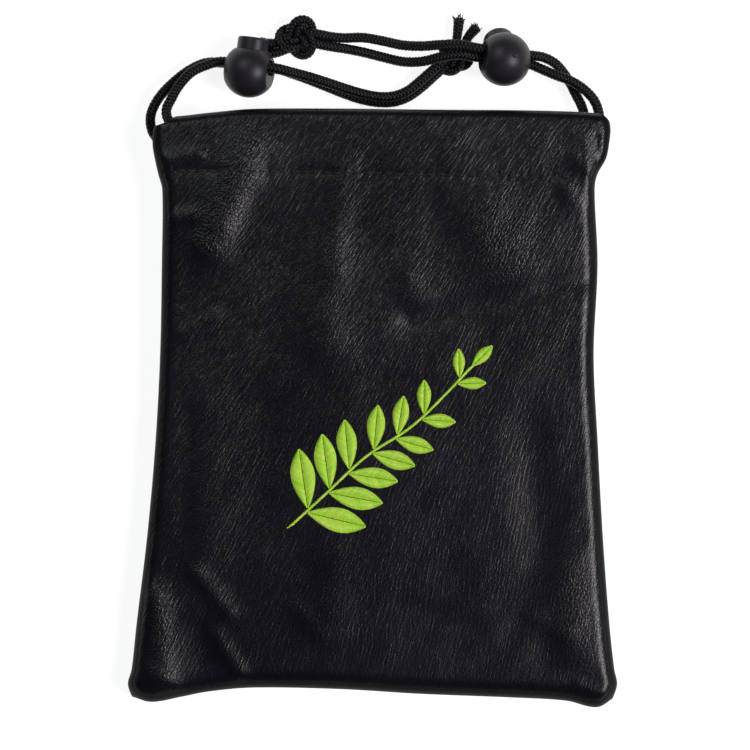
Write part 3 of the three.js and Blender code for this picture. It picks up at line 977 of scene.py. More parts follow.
@dataclass
class LeatherPanel:
    """One leather panel with its casing and turned-in hem."""

    form: PouchForm
    side: PanelSide
    mesh: PanelMesh
    flat: tuple[float, float] = (0.158, 0.214)
    flat_area: float = 0.0318
    casing_upper: float = 0.22
    back_dip: float = 0.55
    back_dip_width: float = 1.3
    back_dip_share: float = 0.75
    wear_start: float = 0.93
    wear_span: float = 0.09
    bulge_full: float = 1.1
    bulge_power: float = 1.5

    @property
    def front(self) -> bool:
        """Whether this is the front panel."""
        return self.side is PanelSide.FRONT

    def shares(self) -> Array:
        """Places across, closer together where the edges round over.

        Returns:
            Shares of the width, from 0 at the left to 1 at the right.
        """
        form = self.form
        side_round = float(form.front_round(0) if self.front else form.back_round)
        zone = side_round / float(form.right(0) - form.left(0))
        rising = zone * (1 - np.cos(math.pi / 2 * np.arange(self.mesh.edge) / self.mesh.edge))
        middle = np.linspace(zone, 1 - zone, self.mesh.across + 1)
        return np.concatenate([rising, middle, 1 - rising[::-1]])

    def height(self, x: Array, y: Array, inset: float) -> Array:
        """Height of this panel's plain face."""
        measure = self.form.front_height if self.front else self.form.back_height
        return measure(x, y, inset)

    def shown_height(self, x: Array, y: Array, inset: float) -> Array:
        """Height of a face of the skin; the outer one has its creases and needle dips.

        Args:
            x: Places across.
            y: Places along.
            inset: 0 for the outer face, the leather's thickness for the inner one.

        Returns:
            The height at each place.
        """
        if inset:
            return self.height(x, y, inset)
        if self.front:
            return self.form.front_face(x, y)
        line = np.exp(-(((y - self.form.stitch(x)) / self.back_dip_width) ** 2))
        wave = (1 - self.back_dip_share) * self.form.stitch_wave(x)
        return self.height(x, y, 0.0) + self.back_dip * line * (self.back_dip_share + wave)

    def points(self, inset: float) -> Array:
        """Rows from the bottom seam up, over the mouth and down the hem.

        Args:
            inset: 0 for the outer face, the leather's thickness for the inner one.

        Returns:
            An array of rows, columns and three coordinates.
        """
        form, mesh, shares = self.form, self.mesh, self.shares()
        low_round = form.bottom_round if self.front else form.back_round
        inward = -1 if self.front else 1
        rows: list[Array] = []

        def across(y: Array) -> Array:
            """Places across at some heights."""
            left, right = form.left(y) + inset, form.right(y) - inset
            return left + (right - left) * shares

        def skin(y_at: Callable[[Array], Array]) -> None:
            """Add a row that follows the face.

            Args:
                y_at: Places along for places across.
            """
            y = y_at(across(y_at(across(np.zeros_like(shares)))))
            x = across(y)
            rows.append(np.stack([x, y, self.shown_height(x, y, inset)], -1))

        def turned(part: float, y_at: Callable[[Array], Array], depth: float) -> None:
            """Add a row of the turned-in hem.

            Args:
                part: Share of the turn over the mouth.
                y_at: Places along for places across.
                depth: How far it lies behind the face.
            """
            wide = across(form.fold_centre(across(np.full_like(shares, form.upper_lane))))
            hem = form.hem_left + (form.hem_right - form.hem_left) * shares
            right_draw = form.square_draw if self.front else form.open_draw
            narrowing = part**form.open_draw * (1 - shares) + part**right_draw * shares
            x = wide + (hem - wide) * narrowing
            y = y_at(x)
            z = self.height(x, np.minimum(y, form.fold_centre(x)), 0.0) + inward * depth
            rows.append(np.stack([x, y, z], -1))

        for i in range(mesh.bottom):
            rise = low_round * (1 - math.cos(math.pi / 2 * i / mesh.bottom))
            skin(lambda x, rise=rise: form.bottom(x) + inset + rise)
        for i in range(mesh.along):
            share = i / mesh.along
            skin(lambda x, share=share: (
                (form.bottom(x) + inset + low_round) * (1 - share) + form.stitch(x) * share))
        for share in np.linspace(1, self.casing_upper, mesh.casing):
            skin(lambda x, share=share: form.top(x) + (form.stitch(x) - form.top(x)) * share)
        radius = form.casing / 2 - inset
        for i in range(mesh.fold + 1):
            angle = math.pi * i / mesh.fold
            rise = radius * math.sin(angle)
            depth = form.casing / 2 - radius * math.cos(angle)
            turned(i / mesh.fold, lambda x, rise=rise: form.fold_centre(x) + rise, depth)
        hem_depth = form.casing - inset
        lap_depth = 2 * form.leather + form.seam_gap - inset
        for i in range(1, mesh.hem + 1):
            drop = form.casing / 2 + (form.hem_flat - form.casing / 2) * i / mesh.hem
            turned(1.0, lambda x, drop=drop: form.top(x) - drop, hem_depth)
        turned(1.0, lambda x: form.stitch(x) + form.hem_lift, lap_depth)
        turned(1.0, lambda x: form.stitch(x) - form.hem_lap, lap_depth)
        return np.array(rows)

    def faces(self, rows: int, columns: int) -> Array:
        """Quads of a closed sheet between its outer and inner grid.

        Args:
            rows: Rows of either grid.
            columns: Columns of either grid.

        Returns:
            Four corner numbers for each quad.
        """
        outer = np.arange(rows * columns).reshape(rows, columns)
        inner = outer + rows * columns
        quads = [
            np.stack([outer[:-1, :-1], outer[:-1, 1:], outer[1:, 1:], outer[1:, :-1]], -1),
            np.stack([inner[:-1, :-1], inner[1:, :-1], inner[1:, 1:], inner[:-1, 1:]], -1),
            np.stack([outer[:-1, 0], outer[1:, 0], inner[1:, 0], inner[:-1, 0]], -1),
            np.stack([outer[:-1, -1], inner[:-1, -1], inner[1:, -1], outer[1:, -1]], -1),
            np.stack([outer[0, :-1], inner[0, :-1], inner[0, 1:], outer[0, 1:]], -1),
            np.stack([outer[-1, :-1], outer[-1, 1:], inner[-1, 1:], inner[-1, :-1]], -1),
        ]
        faces = np.concatenate([q.reshape(-1, 4) for q in quads])
        return faces if self.front else faces[:, ::-1]

    def edge_wear(self, x: Array, y: Array) -> Array:
        """How far the leather turns down into the seams, from 0 on top to 1."""
        share = self.form.inside_share(self.side, x, y, 0.0)
        return smooth((self.wear_start - share) / self.wear_span)

    def bulge(self, x: Array, y: Array) -> Array:
        """How tightly the leather is drawn over a fold, from 0 to 1.

        Args:
            x: Places across.
            y: Places along.

        Returns:
            The share at each place.
        """
        if not self.front:
            return np.zeros(len(x))
        return np.clip(fold_sum(FOLDS + CREASES, x, y) / self.bulge_full, 0, 1) ** self.bulge_power

    def build(self, leather: bpy.types.Material, rests_on: str) -> bpy.types.Object:
        """Make the panel.

        Args:
            leather: Its finish.
            rests_on: What it lies on; not used.

        Returns:
            The panel's object.
        """
        outer, inner = self.points(0.0), self.points(self.form.leather)
        faces = self.faces(*outer.shape[:2])
        both = np.concatenate([outer.reshape(-1, 3), inner.reshape(-1, 3)])
        piece = new_piece(f"{self.side.value}_leather", both, faces.tolist())
        x, y = both[:, 0], both[:, 1]
        add_numbers(piece, edge=self.edge_wear(x, y), bulge=self.bulge(x, y))
        settle(piece, "pouch", leather)
        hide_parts(f"{self.side.value}_panel")
        return piece


class Yarn(NamedTuple):
    """Mesh of yarn, with each corner's place along and around it, and its tone."""

    points: Array
    faces: Array
    along: Array
    around: Array
    tone: Array

    @staticmethod
    def tube(line: Array, ring: Array, along: Array, tone: float) -> Yarn:
        """One round yarn.

        Args:
            line: Its centre line, in millimetres.
            ring: Arms from the line to the corners, a ring of them at each point.
            along: The place along the yarn at each point.
            tone: From 0, dark, to 1, pale.

        Returns:
            The yarn, open at both ends.
        """
        rings, sides = ring.shape[:2]
        return Yarn(
            (line[:, None] + ring).reshape(-1, 3),
            tube_quads(rings, sides),
            np.repeat(along, sides),
            np.tile(np.cos(ring_turns(sides)), rings),
            np.full(rings * sides, tone),
        )

    @staticmethod
    def joined(yarns: Sequence[Yarn]) -> Yarn:
        """Several yarns as one mesh.

        Args:
            yarns: The yarns, in order.

        Returns:
            One mesh of them all.
        """
        starts = np.cumsum([0] + [len(yarn.points) for yarn in yarns[:-1]])
        moved = [yarn._replace(faces=yarn.faces + start) for yarn, start in zip(yarns, starts)]
        return Yarn(*(np.concatenate(column) for column in zip(*moved)))

    def piece(self, name: str, caps: Sequence[Sequence[int]] = (),
              sharp: float = 180.0) -> bpy.types.Object:
        """Make the object.

        Args:
            name: The piece's name.
            caps: Faces that close the ends.
            sharp: Edges that bend by more than this many degrees stay sharp.

        Returns:
            The object.
        """
        made = new_piece(name, self.points, [*self.faces.tolist(), *caps], sharp)
        add_numbers(made, along=self.along, around=self.around, tone=self.tone)
        return made


def ring_arms(first: Array, second: Array, sides: int) -> Array:
    """Arms round a line, a ring of them at each point, from two directions across it."""
    turn = ring_turns(sides)[None, :, None]
    return first[:, None] * np.cos(turn) + second[:, None] * np.sin(turn)


@dataclass
class ThreadWork:
    """Stitches gathered into one mesh."""

    sides: int = 6
    steep: float = 0.9
    ply_offset: float = 0.48
    ply_radius: float = 0.56
    sharp: float = 80.0
    threads: list[Yarn] = field(default_factory=list)
    caps: list[list[int]] = field(default_factory=list)
    count: int = 0

    def lay(self, line: Array, radius: float, tone: float) -> None:
        """Lay one round thread.

        Args:
            line: Its centre line, in millimetres.
            radius: Its radius.
            tone: From 0, dark, to 1, pale.
        """
        steep = abs(unit(np.gradient(line, axis=0))[:, 2]).max() >= self.steep
        side, top = cross_frame(line, FAR if steep else UP)
        ring = ring_arms(side, top, self.sides) * radius
        self.threads.append(Yarn.tube(line, ring, run_along(line), tone))
        start = self.count + np.arange(self.sides)
        self.count += len(line) * self.sides
        stop = self.count - self.sides + np.arange(self.sides)
        self.caps += [start[::-1].tolist(), stop.tolist()]

    def twist(self, line: Array, radius: float, lay: float, tone: float) -> None:
        """Lay a thread of two plies twisted together.

        Args:
            line: Its centre line, in millimetres.
            radius: Radius over both plies.
            lay: Length of one turn.
            tone: From 0, dark, to 1, pale.
        """
        side, top = cross_frame(line, UP)
        for ply in (0.0, math.pi):
            turn = (2 * math.pi * run_along(line) / lay + ply)[:, None]
            off = radius * self.ply_offset * (np.cos(turn) * side + np.sin(turn) * top)
            self.lay(line + off, radius * self.ply_radius, tone)

    def piece(self, name: str) -> bpy.types.Object:
        """Join the stitches into one object."""
        return Yarn.joined(self.threads).piece(name, self.caps, self.sharp)


@dataclass
class Stitching:
    """Thread along the casings and in the seams."""

    form: PouchForm
    thread: float = 0.3
    stitch: float = 2.7
    stitch_points: int = 13
    twist: float = 1.1
    edge_margin: float = 3.0
    casing_y: float = 75.0
    wander: float = 0.12
    slant: float = 0.35
    sink: float = 0.42
    sink_power: int = 6
    front_lift: float = 0.12
    back_lift: float = 0.33
    seam_pitch: float = 3.0
    seam_thread: float = 0.2
    seam_points: int = 7
    seam_inset: float = 0.45
    seam_rise: float = 0.15
    seam_slant: float = 0.7
    seam_reach: tuple[float, float] = (-0.55, 0.45)
    side_span: tuple[float, float] = (-84.0, 66.0)
    bottom_span: tuple[float, float] = (-70.0, 71.0)

    def casing_line(self, side: PanelSide, work: ThreadWork) -> None:
        """Lay the row of stitches that closes one casing.

        Args:
            side: Which panel.
            work: Where the stitches go.
        """
        form = self.form
        rng = np.random.default_rng(SEED)
        left = float(form.left(self.casing_y)) + self.edge_margin
        right = float(form.right(self.casing_y)) - self.edge_margin
        share = np.linspace(-0.5, 0.5, self.stitch_points)
        sink = self.sink * (2 * np.abs(share)) ** self.sink_power
        for k in range(math.ceil(left / form.stitch_pitch), math.floor(right / form.stitch_pitch)):
            x = (k + 0.5) * form.stitch_pitch + share * self.stitch
            y = form.stitch(x) + self.wander * rng.normal() + self.slant * share * rng.normal()
            if side is PanelSide.FRONT:
                z = form.front_face(x, y) + self.front_lift - sink
            else:
                z = form.back_height(x, y, 0.0) + self.back_lift + sink
            work.twist(np.stack([x, y, z], -1), self.thread, self.twist, rng.random())

    def seam_line(self, work: ThreadWork) -> None:
        """Lay the short threads that show between the two panels along the seams.

        Args:
            work: Where the threads go.
        """
        form = self.form
        rng = np.random.default_rng(SEED + 1)
        lift = np.linspace(*self.seam_reach, self.seam_points)
        level = np.zeros_like(lift)

        def lay(x: Array, y: Array, seam_y: float) -> None:
            """Lay one thread from the lower panel to the upper one."""
            z = float(form.back_edge(seam_y)) + self.seam_rise + lift
            work.lay(np.stack([x, y, z], -1), self.seam_thread, rng.random())

        for edge, inward in ((form.left, self.seam_inset), (form.right, -self.seam_inset)):
            for y in np.arange(*self.side_span, self.seam_pitch):
                lay(level + float(edge(y)) + inward, y + self.seam_slant * lift, y)
        for x in np.arange(*self.bottom_span, self.seam_pitch):
            y = float(form.bottom(x)) + self.seam_inset
            lay(x + self.seam_slant * lift, level + y, y)

    def build(self, finish: bpy.types.Material) -> list[bpy.types.Object]:
        """Make the stitching pieces.

        Args:
            finish: The thread's finish.

        Returns:
            Both casing rows and the seam threads.
        """
        made = []
        for side in PanelSide:
            work = ThreadWork()
            self.casing_line(side, work)
            piece = work.piece(f"{side.value}_casing_stitches")
            made.append(settle(piece, "pouch", finish))
        work = ThreadWork(sides=5)
        self.seam_line(work)
        made.append(settle(work.piece("seam_stitches"), "pouch", finish))
        return made


def routed_curve(points: Array, per_step: int) -> Array:
    """A smooth centripetal curve through points.

    Args:
        points: The points, in order.
        per_step: How many places from one point to the next.

    Returns:
        Places along the curve.
    """
    ends = np.vstack([2 * points[0] - points[1], points, 2 * points[-1] - points[-2]])
    t = np.linspace(0, 1, per_step, endpoint=False)[:, None]
    out = []
    for i in range(len(points) - 1):
        p0, p1, p2, p3 = ends[i:i + 4]
        pairs = ((p0, p1), (p1, p2), (p2, p3))
        d0, d1, d2 = (math.sqrt(np.linalg.norm(b - a)) for a, b in pairs)
        m1 = ((p1 - p0) / d0 - (p2 - p0) / (d0 + d1) + (p2 - p1) / d1) * d1
        m2 = ((p2 - p1) / d1 - (p3 - p1) / (d1 + d2) + (p3 - p2) / d2) * d1
        square, cube = 3 * (p2 - p1) - 2 * m1 - m2, 2 * (p1 - p2) + m1 + m2
        out.append(p1 + m1 * t + square * t**2 + cube * t**3)
    return np.vstack([*out, points[-1:]])


@dataclass
class LeafSprig:
    """A sprig of leaves in satin stitch on the front."""

    form: PouchForm
    stem: tuple[Point, ...] = ((-27, -38, 0), (-15, -27, 0), (-2, -15, 0), (13, -5, 0), (33, 15, 0))
    curve_steps: int = 16
    pairs: int = 7
    longest: float = 19.0
    shortest: float = 9.0
    first_leaf: float = 0.14
    leaf_span: float = 0.8
    spread: float = 58.0
    spread_less: float = 14.0
    leaf_width: float = 0.2
    belly: float = 0.85
    fullness: float = 0.8
    midrib: float = 0.16
    slant: float = 0.75
    slant_less: float = 0.6
    spacing: float = 0.36
    thread: float = 0.22
    thread_points: int = 6
    tone_spread: float = 0.2
    bed: float = 0.1
    lift: float = 0.5
    arch: tuple[float, float] = (0.08, 0.98)
    tuck: float = 0.2
    root_off: float = 0.5
    stem_thread: float = 0.26
    stem_stitch: float = 2.8
    stem_step: float = 1.0
    stem_end: float = 2.6
    stem_slant: tuple[float, float] = (0.28, -0.5)
    stem_bed: float = 0.05
    stem_lift: float = 0.35

    def on_leather(self, xy: Array, lift: Array) -> Array:
        """Places on the front, lifted off it."""
        return np.column_stack([xy, self.form.front_face(xy[:, 0], xy[:, 1]) + lift])

    def leaf(self, work: ThreadWork, root: Array, heading: float, length: float,
             rng: np.random.Generator) -> None:
        """Stitch one leaf in two halves along its midrib.

        Args:
            work: Where the stitches go.
            root: Where the leaf joins the stem.
            heading: Direction of the midrib, in radians.
            length: Length of the leaf.
            rng: Seeded numbers for uneven thread.
        """
        way = np.array([math.cos(heading), math.sin(heading)])
        off = np.array([-way[1], way[0]])
        count = int(length / self.spacing)
        q = np.linspace(0, 1, self.thread_points)
        rise = self.bed + self.lift * np.sin(math.pi * np.linspace(*self.arch, self.thread_points))
        rise[-1] -= self.tuck
        for half in (-1.0, 1.0):
            for k in range(count):
                u = (k + 0.5) / count
                shape = math.sin(math.pi * u**self.belly) ** self.fullness
                out = self.leaf_width * length * shape
                ahead = u * length + self.slant * out * (1 - self.slant_less * u)
                start = root + way * (u * length) + off * half * self.midrib
                stop = root + way * ahead + off * half * out
                xy = start + (stop - start) * q[:, None]
                tone = float(np.clip(rng.normal(0.5, self.tone_spread), 0, 1))
                work.lay(self.on_leather(xy, rise), self.thread, tone)

    def stem_stitches(self, work: ThreadWork, line: Array, rng: np.random.Generator) -> None:
        """Stitch a stem with slanting stitches that overlap like a rope.

        Args:
            work: Where the stitches go.
            line: Points along the stem.
            rng: Seeded numbers for uneven thread.
        """
        q = np.linspace(0, 1, self.thread_points)
        rise = self.stem_bed + self.stem_lift * np.sin(math.pi * q)
        run = run_along(line)
        for start in np.arange(0, run[-1] - self.stem_end, self.stem_step):
            s = start + q * self.stem_stitch
            xy = np.column_stack([np.interp(s, run, line[:, 0]), np.interp(s, run, line[:, 1])])
            xy += np.outer(q - 0.5, self.stem_slant)
            work.lay(self.on_leather(xy, rise), self.stem_thread, rng.random())

    def build(self, finish: bpy.types.Material) -> bpy.types.Object:
        """Make the whole sprig.

        Args:
            finish: The thread's finish.

        Returns:
            The sprig's object.
        """
        rng = np.random.default_rng(SEED + 2)
        work = ThreadWork(sides=5)
        line = routed_curve(np.array(self.stem, float), self.curve_steps)[:, :2]
        self.stem_stitches(work, line, rng)
        for k in range(self.pairs):
            share = self.first_leaf + self.leaf_span * k / (self.pairs - 1)
            i = int(share * (len(line) - 2))
            way = line[i + 1] - line[i]
            off = np.array([-way[1], way[0]]) / np.linalg.norm(way)
            heading = math.atan2(way[1], way[0])
            length = self.longest + (self.shortest - self.longest) * k / (self.pairs - 1)
            spread = math.radians(self.spread - self.spread_less * share)
            for half in (-1.0, 1.0):
                root = line[i] + self.root_off * half * off + way * (half + 1) / 2
                self.leaf(work, root, heading + half * spread, length, rng)
        tip = line[-1] - line[-3]
        self.leaf(work, line[-1] - tip / 2, math.atan2(tip[1], tip[0]), self.shortest, rng)
        return settle(work.piece("sprig_embroidery"), "pouch", finish)


@dataclass(frozen=True)
class LockPlace:
    """Where a lock lies and how it is turned, in degrees about X, Y and Z."""

    x: float
    y: float
    z: float
    tip: float
    lean: float
    turn: float

    def matrix(self) -> Matrix:
        """From the lock's own frame to the pouch's, in millimetres.

        Returns:
            The three turns and the move as one matrix.
        """
        matrix = Matrix.Translation((self.x, self.y, self.z))
        for angle, axis in ((self.turn, "Z"), (self.lean, "Y"), (self.tip, "X")):
            matrix = matrix @ Matrix.Rotation(math.radians(angle), 4, axis)
        return matrix


class Hand(Enum):
    """At which side of the pouch a cord comes out."""

    LEFT = "left"
    RIGHT = "right"


@dataclass(frozen=True)
class CordRun:
    """The free stretches of one cord, its lock and its knot."""

    hand: Hand
    lock: LockPlace
    knot_to_lock: tuple[Point, ...]
    lock_to_casing: tuple[Point, ...]
    casing_to_lock: tuple[Point, ...]
    lock_to_knot: tuple[Point, ...]
    knot: Point
    knot_turn: float
    knot_size: float
    knot_flat: float
    tails: tuple[tuple[Point, ...], ...]

    @property
    def name(self) -> str:
        """What the names of its pieces begin with."""
        return self.hand.value

    @property
    def left(self) -> bool:
        """Whether this is the cord whose lock lies on the left."""
        return self.hand is Hand.LEFT


LEFT_RUN = CordRun(
    hand=Hand.LEFT,
    lock=LockPlace(-39.4, 108.2, 8.65, 0, -15, -8),
    knot_to_lock=(
        (23.2, 111.7, 4.8), (20.9, 110.0, 5.2), (18.0, 107.6, 4.9), (14.9, 104.9, 4.65),
        (11.1, 102.0, 4.6), (6.8, 100.4, 4.6), (2.1, 100.2, 4.6), (-3.3, 101.2, 4.65),
        (-8.8, 102.8, 5.2), (-14.8, 104.7, 6.7), (-20.4, 106.3, 8.7), (-25.5, 107.5, 10.7),
    ),
    lock_to_casing=(
        (-53.6, 109.9, 7.9), (-58.0, 107.7, 8.0), (-62.1, 103.2, 8.4), (-64.3, 99.2, 9.0),
        (-65.8, 96.0, 9.5), (-65.6, 93.3, 10.4), (-64.0, 91.2, 12.2), (-61.7, 90.2, 14.1),
    ),
    casing_to_lock=(
        (-62.4, 83.6, 3.15), (-65.4, 84.3, 3.4), (-68.2, 85.9, 3.9), (-70.3, 88.4, 4.5),
        (-71.2, 91.5, 5.0), (-70.9, 95.0, 5.4), (-68.4, 99.8, 5.8), (-63.5, 105.1, 5.2),
        (-58.1, 109.1, 4.7), (-53.2, 111.1, 4.6),
    ),
    lock_to_knot=(
        (-25.5, 107.3, 7.2), (-20.6, 105.7, 5.3), (-15.2, 103.7, 3.5), (-9.2, 101.4, 2.2),
        (-3.7, 99.6, 1.75), (1.9, 98.6, 1.7), (7.2, 98.8, 1.7), (11.9, 100.6, 1.7),
        (15.9, 103.5, 1.75), (19.2, 106.4, 2.3), (21.9, 108.8, 3.0), (24.0, 110.7, 3.5),
    ),
    knot=(26.3, 112.8, 3.3),
    knot_turn=-33,
    knot_size=1.3,
    knot_flat=1.0,
    tails=(
        ((26.6, 115.6, 4.0), (27.2, 119.8, 3.4), (27.8, 125.0, 3.0)),
        ((29.2, 115.4, 4.0), (30.6, 119.2, 3.2), (33.2, 122.4, 2.6)),
    ),
)

RIGHT_RUN = CordRun(
    hand=Hand.RIGHT,
    lock=LockPlace(42.1, 111.7, 10.9, -50, 18, -6),
    knot_to_lock=(
        (-20.4, 120.6, 4.4), (-17.2, 120.3, 3.8), (-13.2, 119.6, 2.7), (-9.2, 119.3, 1.9),
        (-3.0, 119.4, 1.75), (3.4, 118.3, 1.9), (9.6, 116.8, 3.9), (15.8, 116.2, 7.2),
        (22.0, 116.3, 10.9), (28.0, 116.1, 13.4),
    ),
    lock_to_casing=(
        (54.8, 112.7, 6.4), (58.6, 110.8, 5.3), (61.2, 108.0, 4.7), (63.5, 104.5, 4.3),
        (65.3, 100.9, 4.2), (67.0, 97.5, 4.5), (67.8, 94.7, 4.5), (67.3, 92.1, 3.9),
        (65.1, 90.5, 3.3),
    ),
    casing_to_lock=(
        (65.2, 83.6, 14.6), (68.6, 84.7, 13.7), (71.3, 87.1, 12.3), (72.4, 90.4, 10.9),
        (72.4, 94.2, 10.0), (71.0, 98.4, 9.5), (67.9, 102.0, 9.0), (63.4, 105.0, 8.5),
        (58.6, 106.9, 7.6), (54.2, 108.9, 6.4),
    ),
    lock_to_knot=(
        (27.6, 113.1, 12.2), (22.0, 112.5, 10.3), (15.8, 111.3, 7.2), (9.8, 111.5, 4.0),
        (3.4, 113.1, 1.9), (-2.9, 114.7, 1.75), (-8.0, 115.7, 1.8), (-12.6, 116.35, 2.6),
        (-16.6, 117.0, 3.6), (-20.4, 117.9, 4.4),
    ),
    knot=(-23.9, 119.3, 3.7),
    knot_turn=30,
    knot_size=1.7,
    knot_flat=1.3,
    tails=(
        ((-27.4, 117.9, 4.2), (-31.0, 117.5, 3.0), (-34.6, 117.4, 2.2)),
        ((-26.8, 115.8, 3.8), (-30.4, 114.6, 2.6), (-34.0, 114.2, 2.0)),
    ),
)


@dataclass(frozen=True)
class Braid:
    """A round plait of eight strands, each over two and under two."""

    strands: int = 8
    pitch: float = 4.6
    made_for: float = 1.6
    width: float = 0.48
    thickness: float = 0.36
    wave: float = 0.2
    dwell: float = 1.6
    fibre_pace: float = 2.4
    sides: int = 6
    core: float = 0.85
    core_sides: int = 5

    def plait(self, line: Array, radius: float | Array) -> Yarn:
        """Plait the strands along a line.

        Args:
            line: Centre line in millimetres.
            radius: Outer radius of the cord, all along or at each place.

        Returns:
            The strands and the core in them.
        """
        side, top = cross_frame(line, UP)
        run = run_along(line)
        half = self.strands // 2
        radius = np.broadcast_to(np.asarray(radius, float), (len(line),))
        scale = radius / self.made_for
        grown = scale[:, None, None]
        mean = radius - (self.wave + self.thickness) * scale
        rng = np.random.default_rng(SEED + 3)
        yarns = []
        for k in range(self.strands):
            sign = 1.0 if k % 2 == 0 else -1.0
            number = k // 2
            turn = 2 * math.pi * (sign * run / self.pitch + number / half) + math.pi / self.strands
            place = 2 * number + sign * 2 * half * run / self.pitch
            lift = sign * np.clip(self.dwell * np.cos(math.pi / 2 * (place - 0.5)), -1, 1)
            out = np.cos(turn)[:, None] * top + np.sin(turn)[:, None] * side
            centre = line + out * (mean + self.wave * scale * lift)[:, None]
            flank = unit(np.cross(unit(np.gradient(centre, axis=0)), out))
            ring = ring_arms(flank * self.width, out * self.thickness, self.sides) * grown
            yarns.append(Yarn.tube(centre, ring, run * self.fibre_pace, rng.random()))
        # The core fills the gaps between the strands; its tone of 0 gives it the braid's darkest
        # colour, painted shade inside the cord.
        ring = ring_arms(top, side, self.core_sides) * self.core * grown
        yarns.append(Yarn.tube(line, ring, run, 0.0))
        return Yarn.joined(yarns)


@dataclass
class BallLock:
    """A ball lock: a bored plastic ball and the sprung button in it."""

    run: CordRun
    radius: float = 8.6
    flat: float = 7.15
    button_radius: float = 5.0
    button_top: float = 10.6
    button_edge: float = 0.6
    dish: tuple[tuple[float, float], ...] = ((0.6, 0.02), (0.3, 0.12))
    travel: float = 2.2
    web: float = 1.6
    gap: float = 0.3
    cord: float = 3.2
    strand_offset: float = 1.75
    hole_height: float = 4.6
    hole_rise: float = 1.65
    cut_reach: float = 2.2
    segments: int = 96
    bands: int = 64
    corner_steps: int = 8
    edge_steps: int = 7
    voxel: float = 0.25
    soften: int = 5
    soften_by: float = 0.5
    gate_way: Point = (0.36, 0.05, 0.93)
    gate_size: float = 0.6
    gate_rise: float = 0.35
    gate_power: int = 4
    gate_reach: float = 2.0

    @property
    def hole_low(self) -> float:
        """Lower edge of the room that the strands need."""
        return self.hole_rise - self.cord / 2 - self.gap

    def lump(self, name: str, fill: Callable[[bmesh.types.BMesh], None]) -> bpy.types.Object:
        """A scratch object from mesh operations in the lock's own frame, in millimetres.

        Args:
            name: The object's name.
            fill: What puts the shape into an empty mesh.

        Returns:
            The object.
        """
        mesh = bpy.data.meshes.new(name)
        made = bmesh.new()
        fill(made)
        made.to_mesh(mesh)
        made.free()
        return placed(name, mesh)

    def ball(self, made: bmesh.types.BMesh) -> None:
        """The whole ball."""
        bmesh.ops.create_uvsphere(
            made, u_segments=self.segments, v_segments=self.bands, radius=self.radius)

    def bore(self, made: bmesh.types.BMesh) -> None:
        """The bore that the button slides in, open along +Y.

        Args:
            made: The mesh that it goes into.
        """
        floor = self.hole_low - (self.travel + self.web + self.gap)
        length = 2 * self.radius
        middle = Matrix.Translation((0, floor + length / 2, 0))
        size = self.button_radius + self.gap
        bmesh.ops.create_cone(
            made, cap_ends=True, segments=self.segments, radius1=size, radius2=size, depth=length,
            matrix=middle @ Matrix.Rotation(math.pi / 2, 4, "X"))

    def slot(self, height: float, lift: float) -> Callable[[bmesh.types.BMesh], None]:
        """A round-cornered slot for both strands, along X.

        Args:
            height: Height of the slot.
            lift: Height of its middle over the ball's.

        Returns:
            What puts the slot into a mesh.
        """
        corner = self.cord / 2 + self.gap
        rise = height / 2 - corner

        def fill(made: bmesh.types.BMesh) -> None:
            """Draw the section and push it through.

            Args:
                made: The mesh that it goes into.
            """
            ring = []
            for k, (sy, sz) in enumerate(((1, 1), (-1, 1), (-1, -1), (1, -1))):
                for i in range(self.corner_steps + 1):
                    a = math.pi / 2 * (k + i / self.corner_steps)
                    y = lift + sy * rise + corner * math.cos(a)
                    z = sz * self.strand_offset + corner * math.sin(a)
                    ring.append(made.verts.new((-2 * self.radius, y, z)))
            face = made.faces.new(ring)
            pushed = bmesh.ops.extrude_face_region(made, geom=[face])["geom"]
            moved = [v for v in pushed if isinstance(v, bmesh.types.BMVert)]
            bmesh.ops.translate(made, vec=(4 * self.radius, 0, 0), verts=moved)
            bmesh.ops.recalc_face_normals(made, faces=made.faces)

        return fill

    def side_cut(self, side: float) -> Callable[[bmesh.types.BMesh], None]:
        """A block that leaves the flat where the strands come out.

        Args:
            side: -1 for the left flat, 1 for the right one.

        Returns:
            What puts the block into a mesh.
        """

        def fill(made: bmesh.types.BMesh) -> None:
            """Place the block.

            Args:
                made: The mesh that it goes into.
            """
            reach = self.cut_reach * self.radius
            middle = Matrix.Translation((side * (self.flat + self.radius / 2), 0, 0))
            size = Matrix.Diagonal((self.radius, reach, reach, 1))
            bmesh.ops.create_cube(made, size=1, matrix=middle @ size)

        return fill

    def plunger(self, made: bmesh.types.BMesh) -> None:
        """The round button with its rounded rims, turned about Y.

        Args:
            made: The mesh that it goes into.
        """
        foot = self.hole_low - self.web
        edge, top, size = self.button_edge, self.button_top, self.button_radius
        bend = np.linspace(0, math.pi / 2, self.edge_steps)
        inner = size - edge
        low = [(inner + edge * math.sin(a), foot + edge - edge * math.cos(a)) for a in bend]
        high = [(inner + edge * math.cos(a), top - edge + edge * math.sin(a)) for a in bend]
        dish = [(size * share, top - depth) for share, depth in self.dish]
        turns = ring_turns(self.segments)
        rings = [[made.verts.new((r * math.cos(a), y, r * math.sin(a))) for a in turns]
                 for r, y in (*low, *high, *dish)]
        for lower, upper in zip(rings, rings[1:]):
            for i in range(self.segments):
                made.faces.new((lower[i - 1], lower[i], upper[i], upper[i - 1]))
        made.faces.new(rings[0])
        made.faces.new(rings[-1])
        bmesh.ops.recalc_face_normals(made, faces=made.faces)

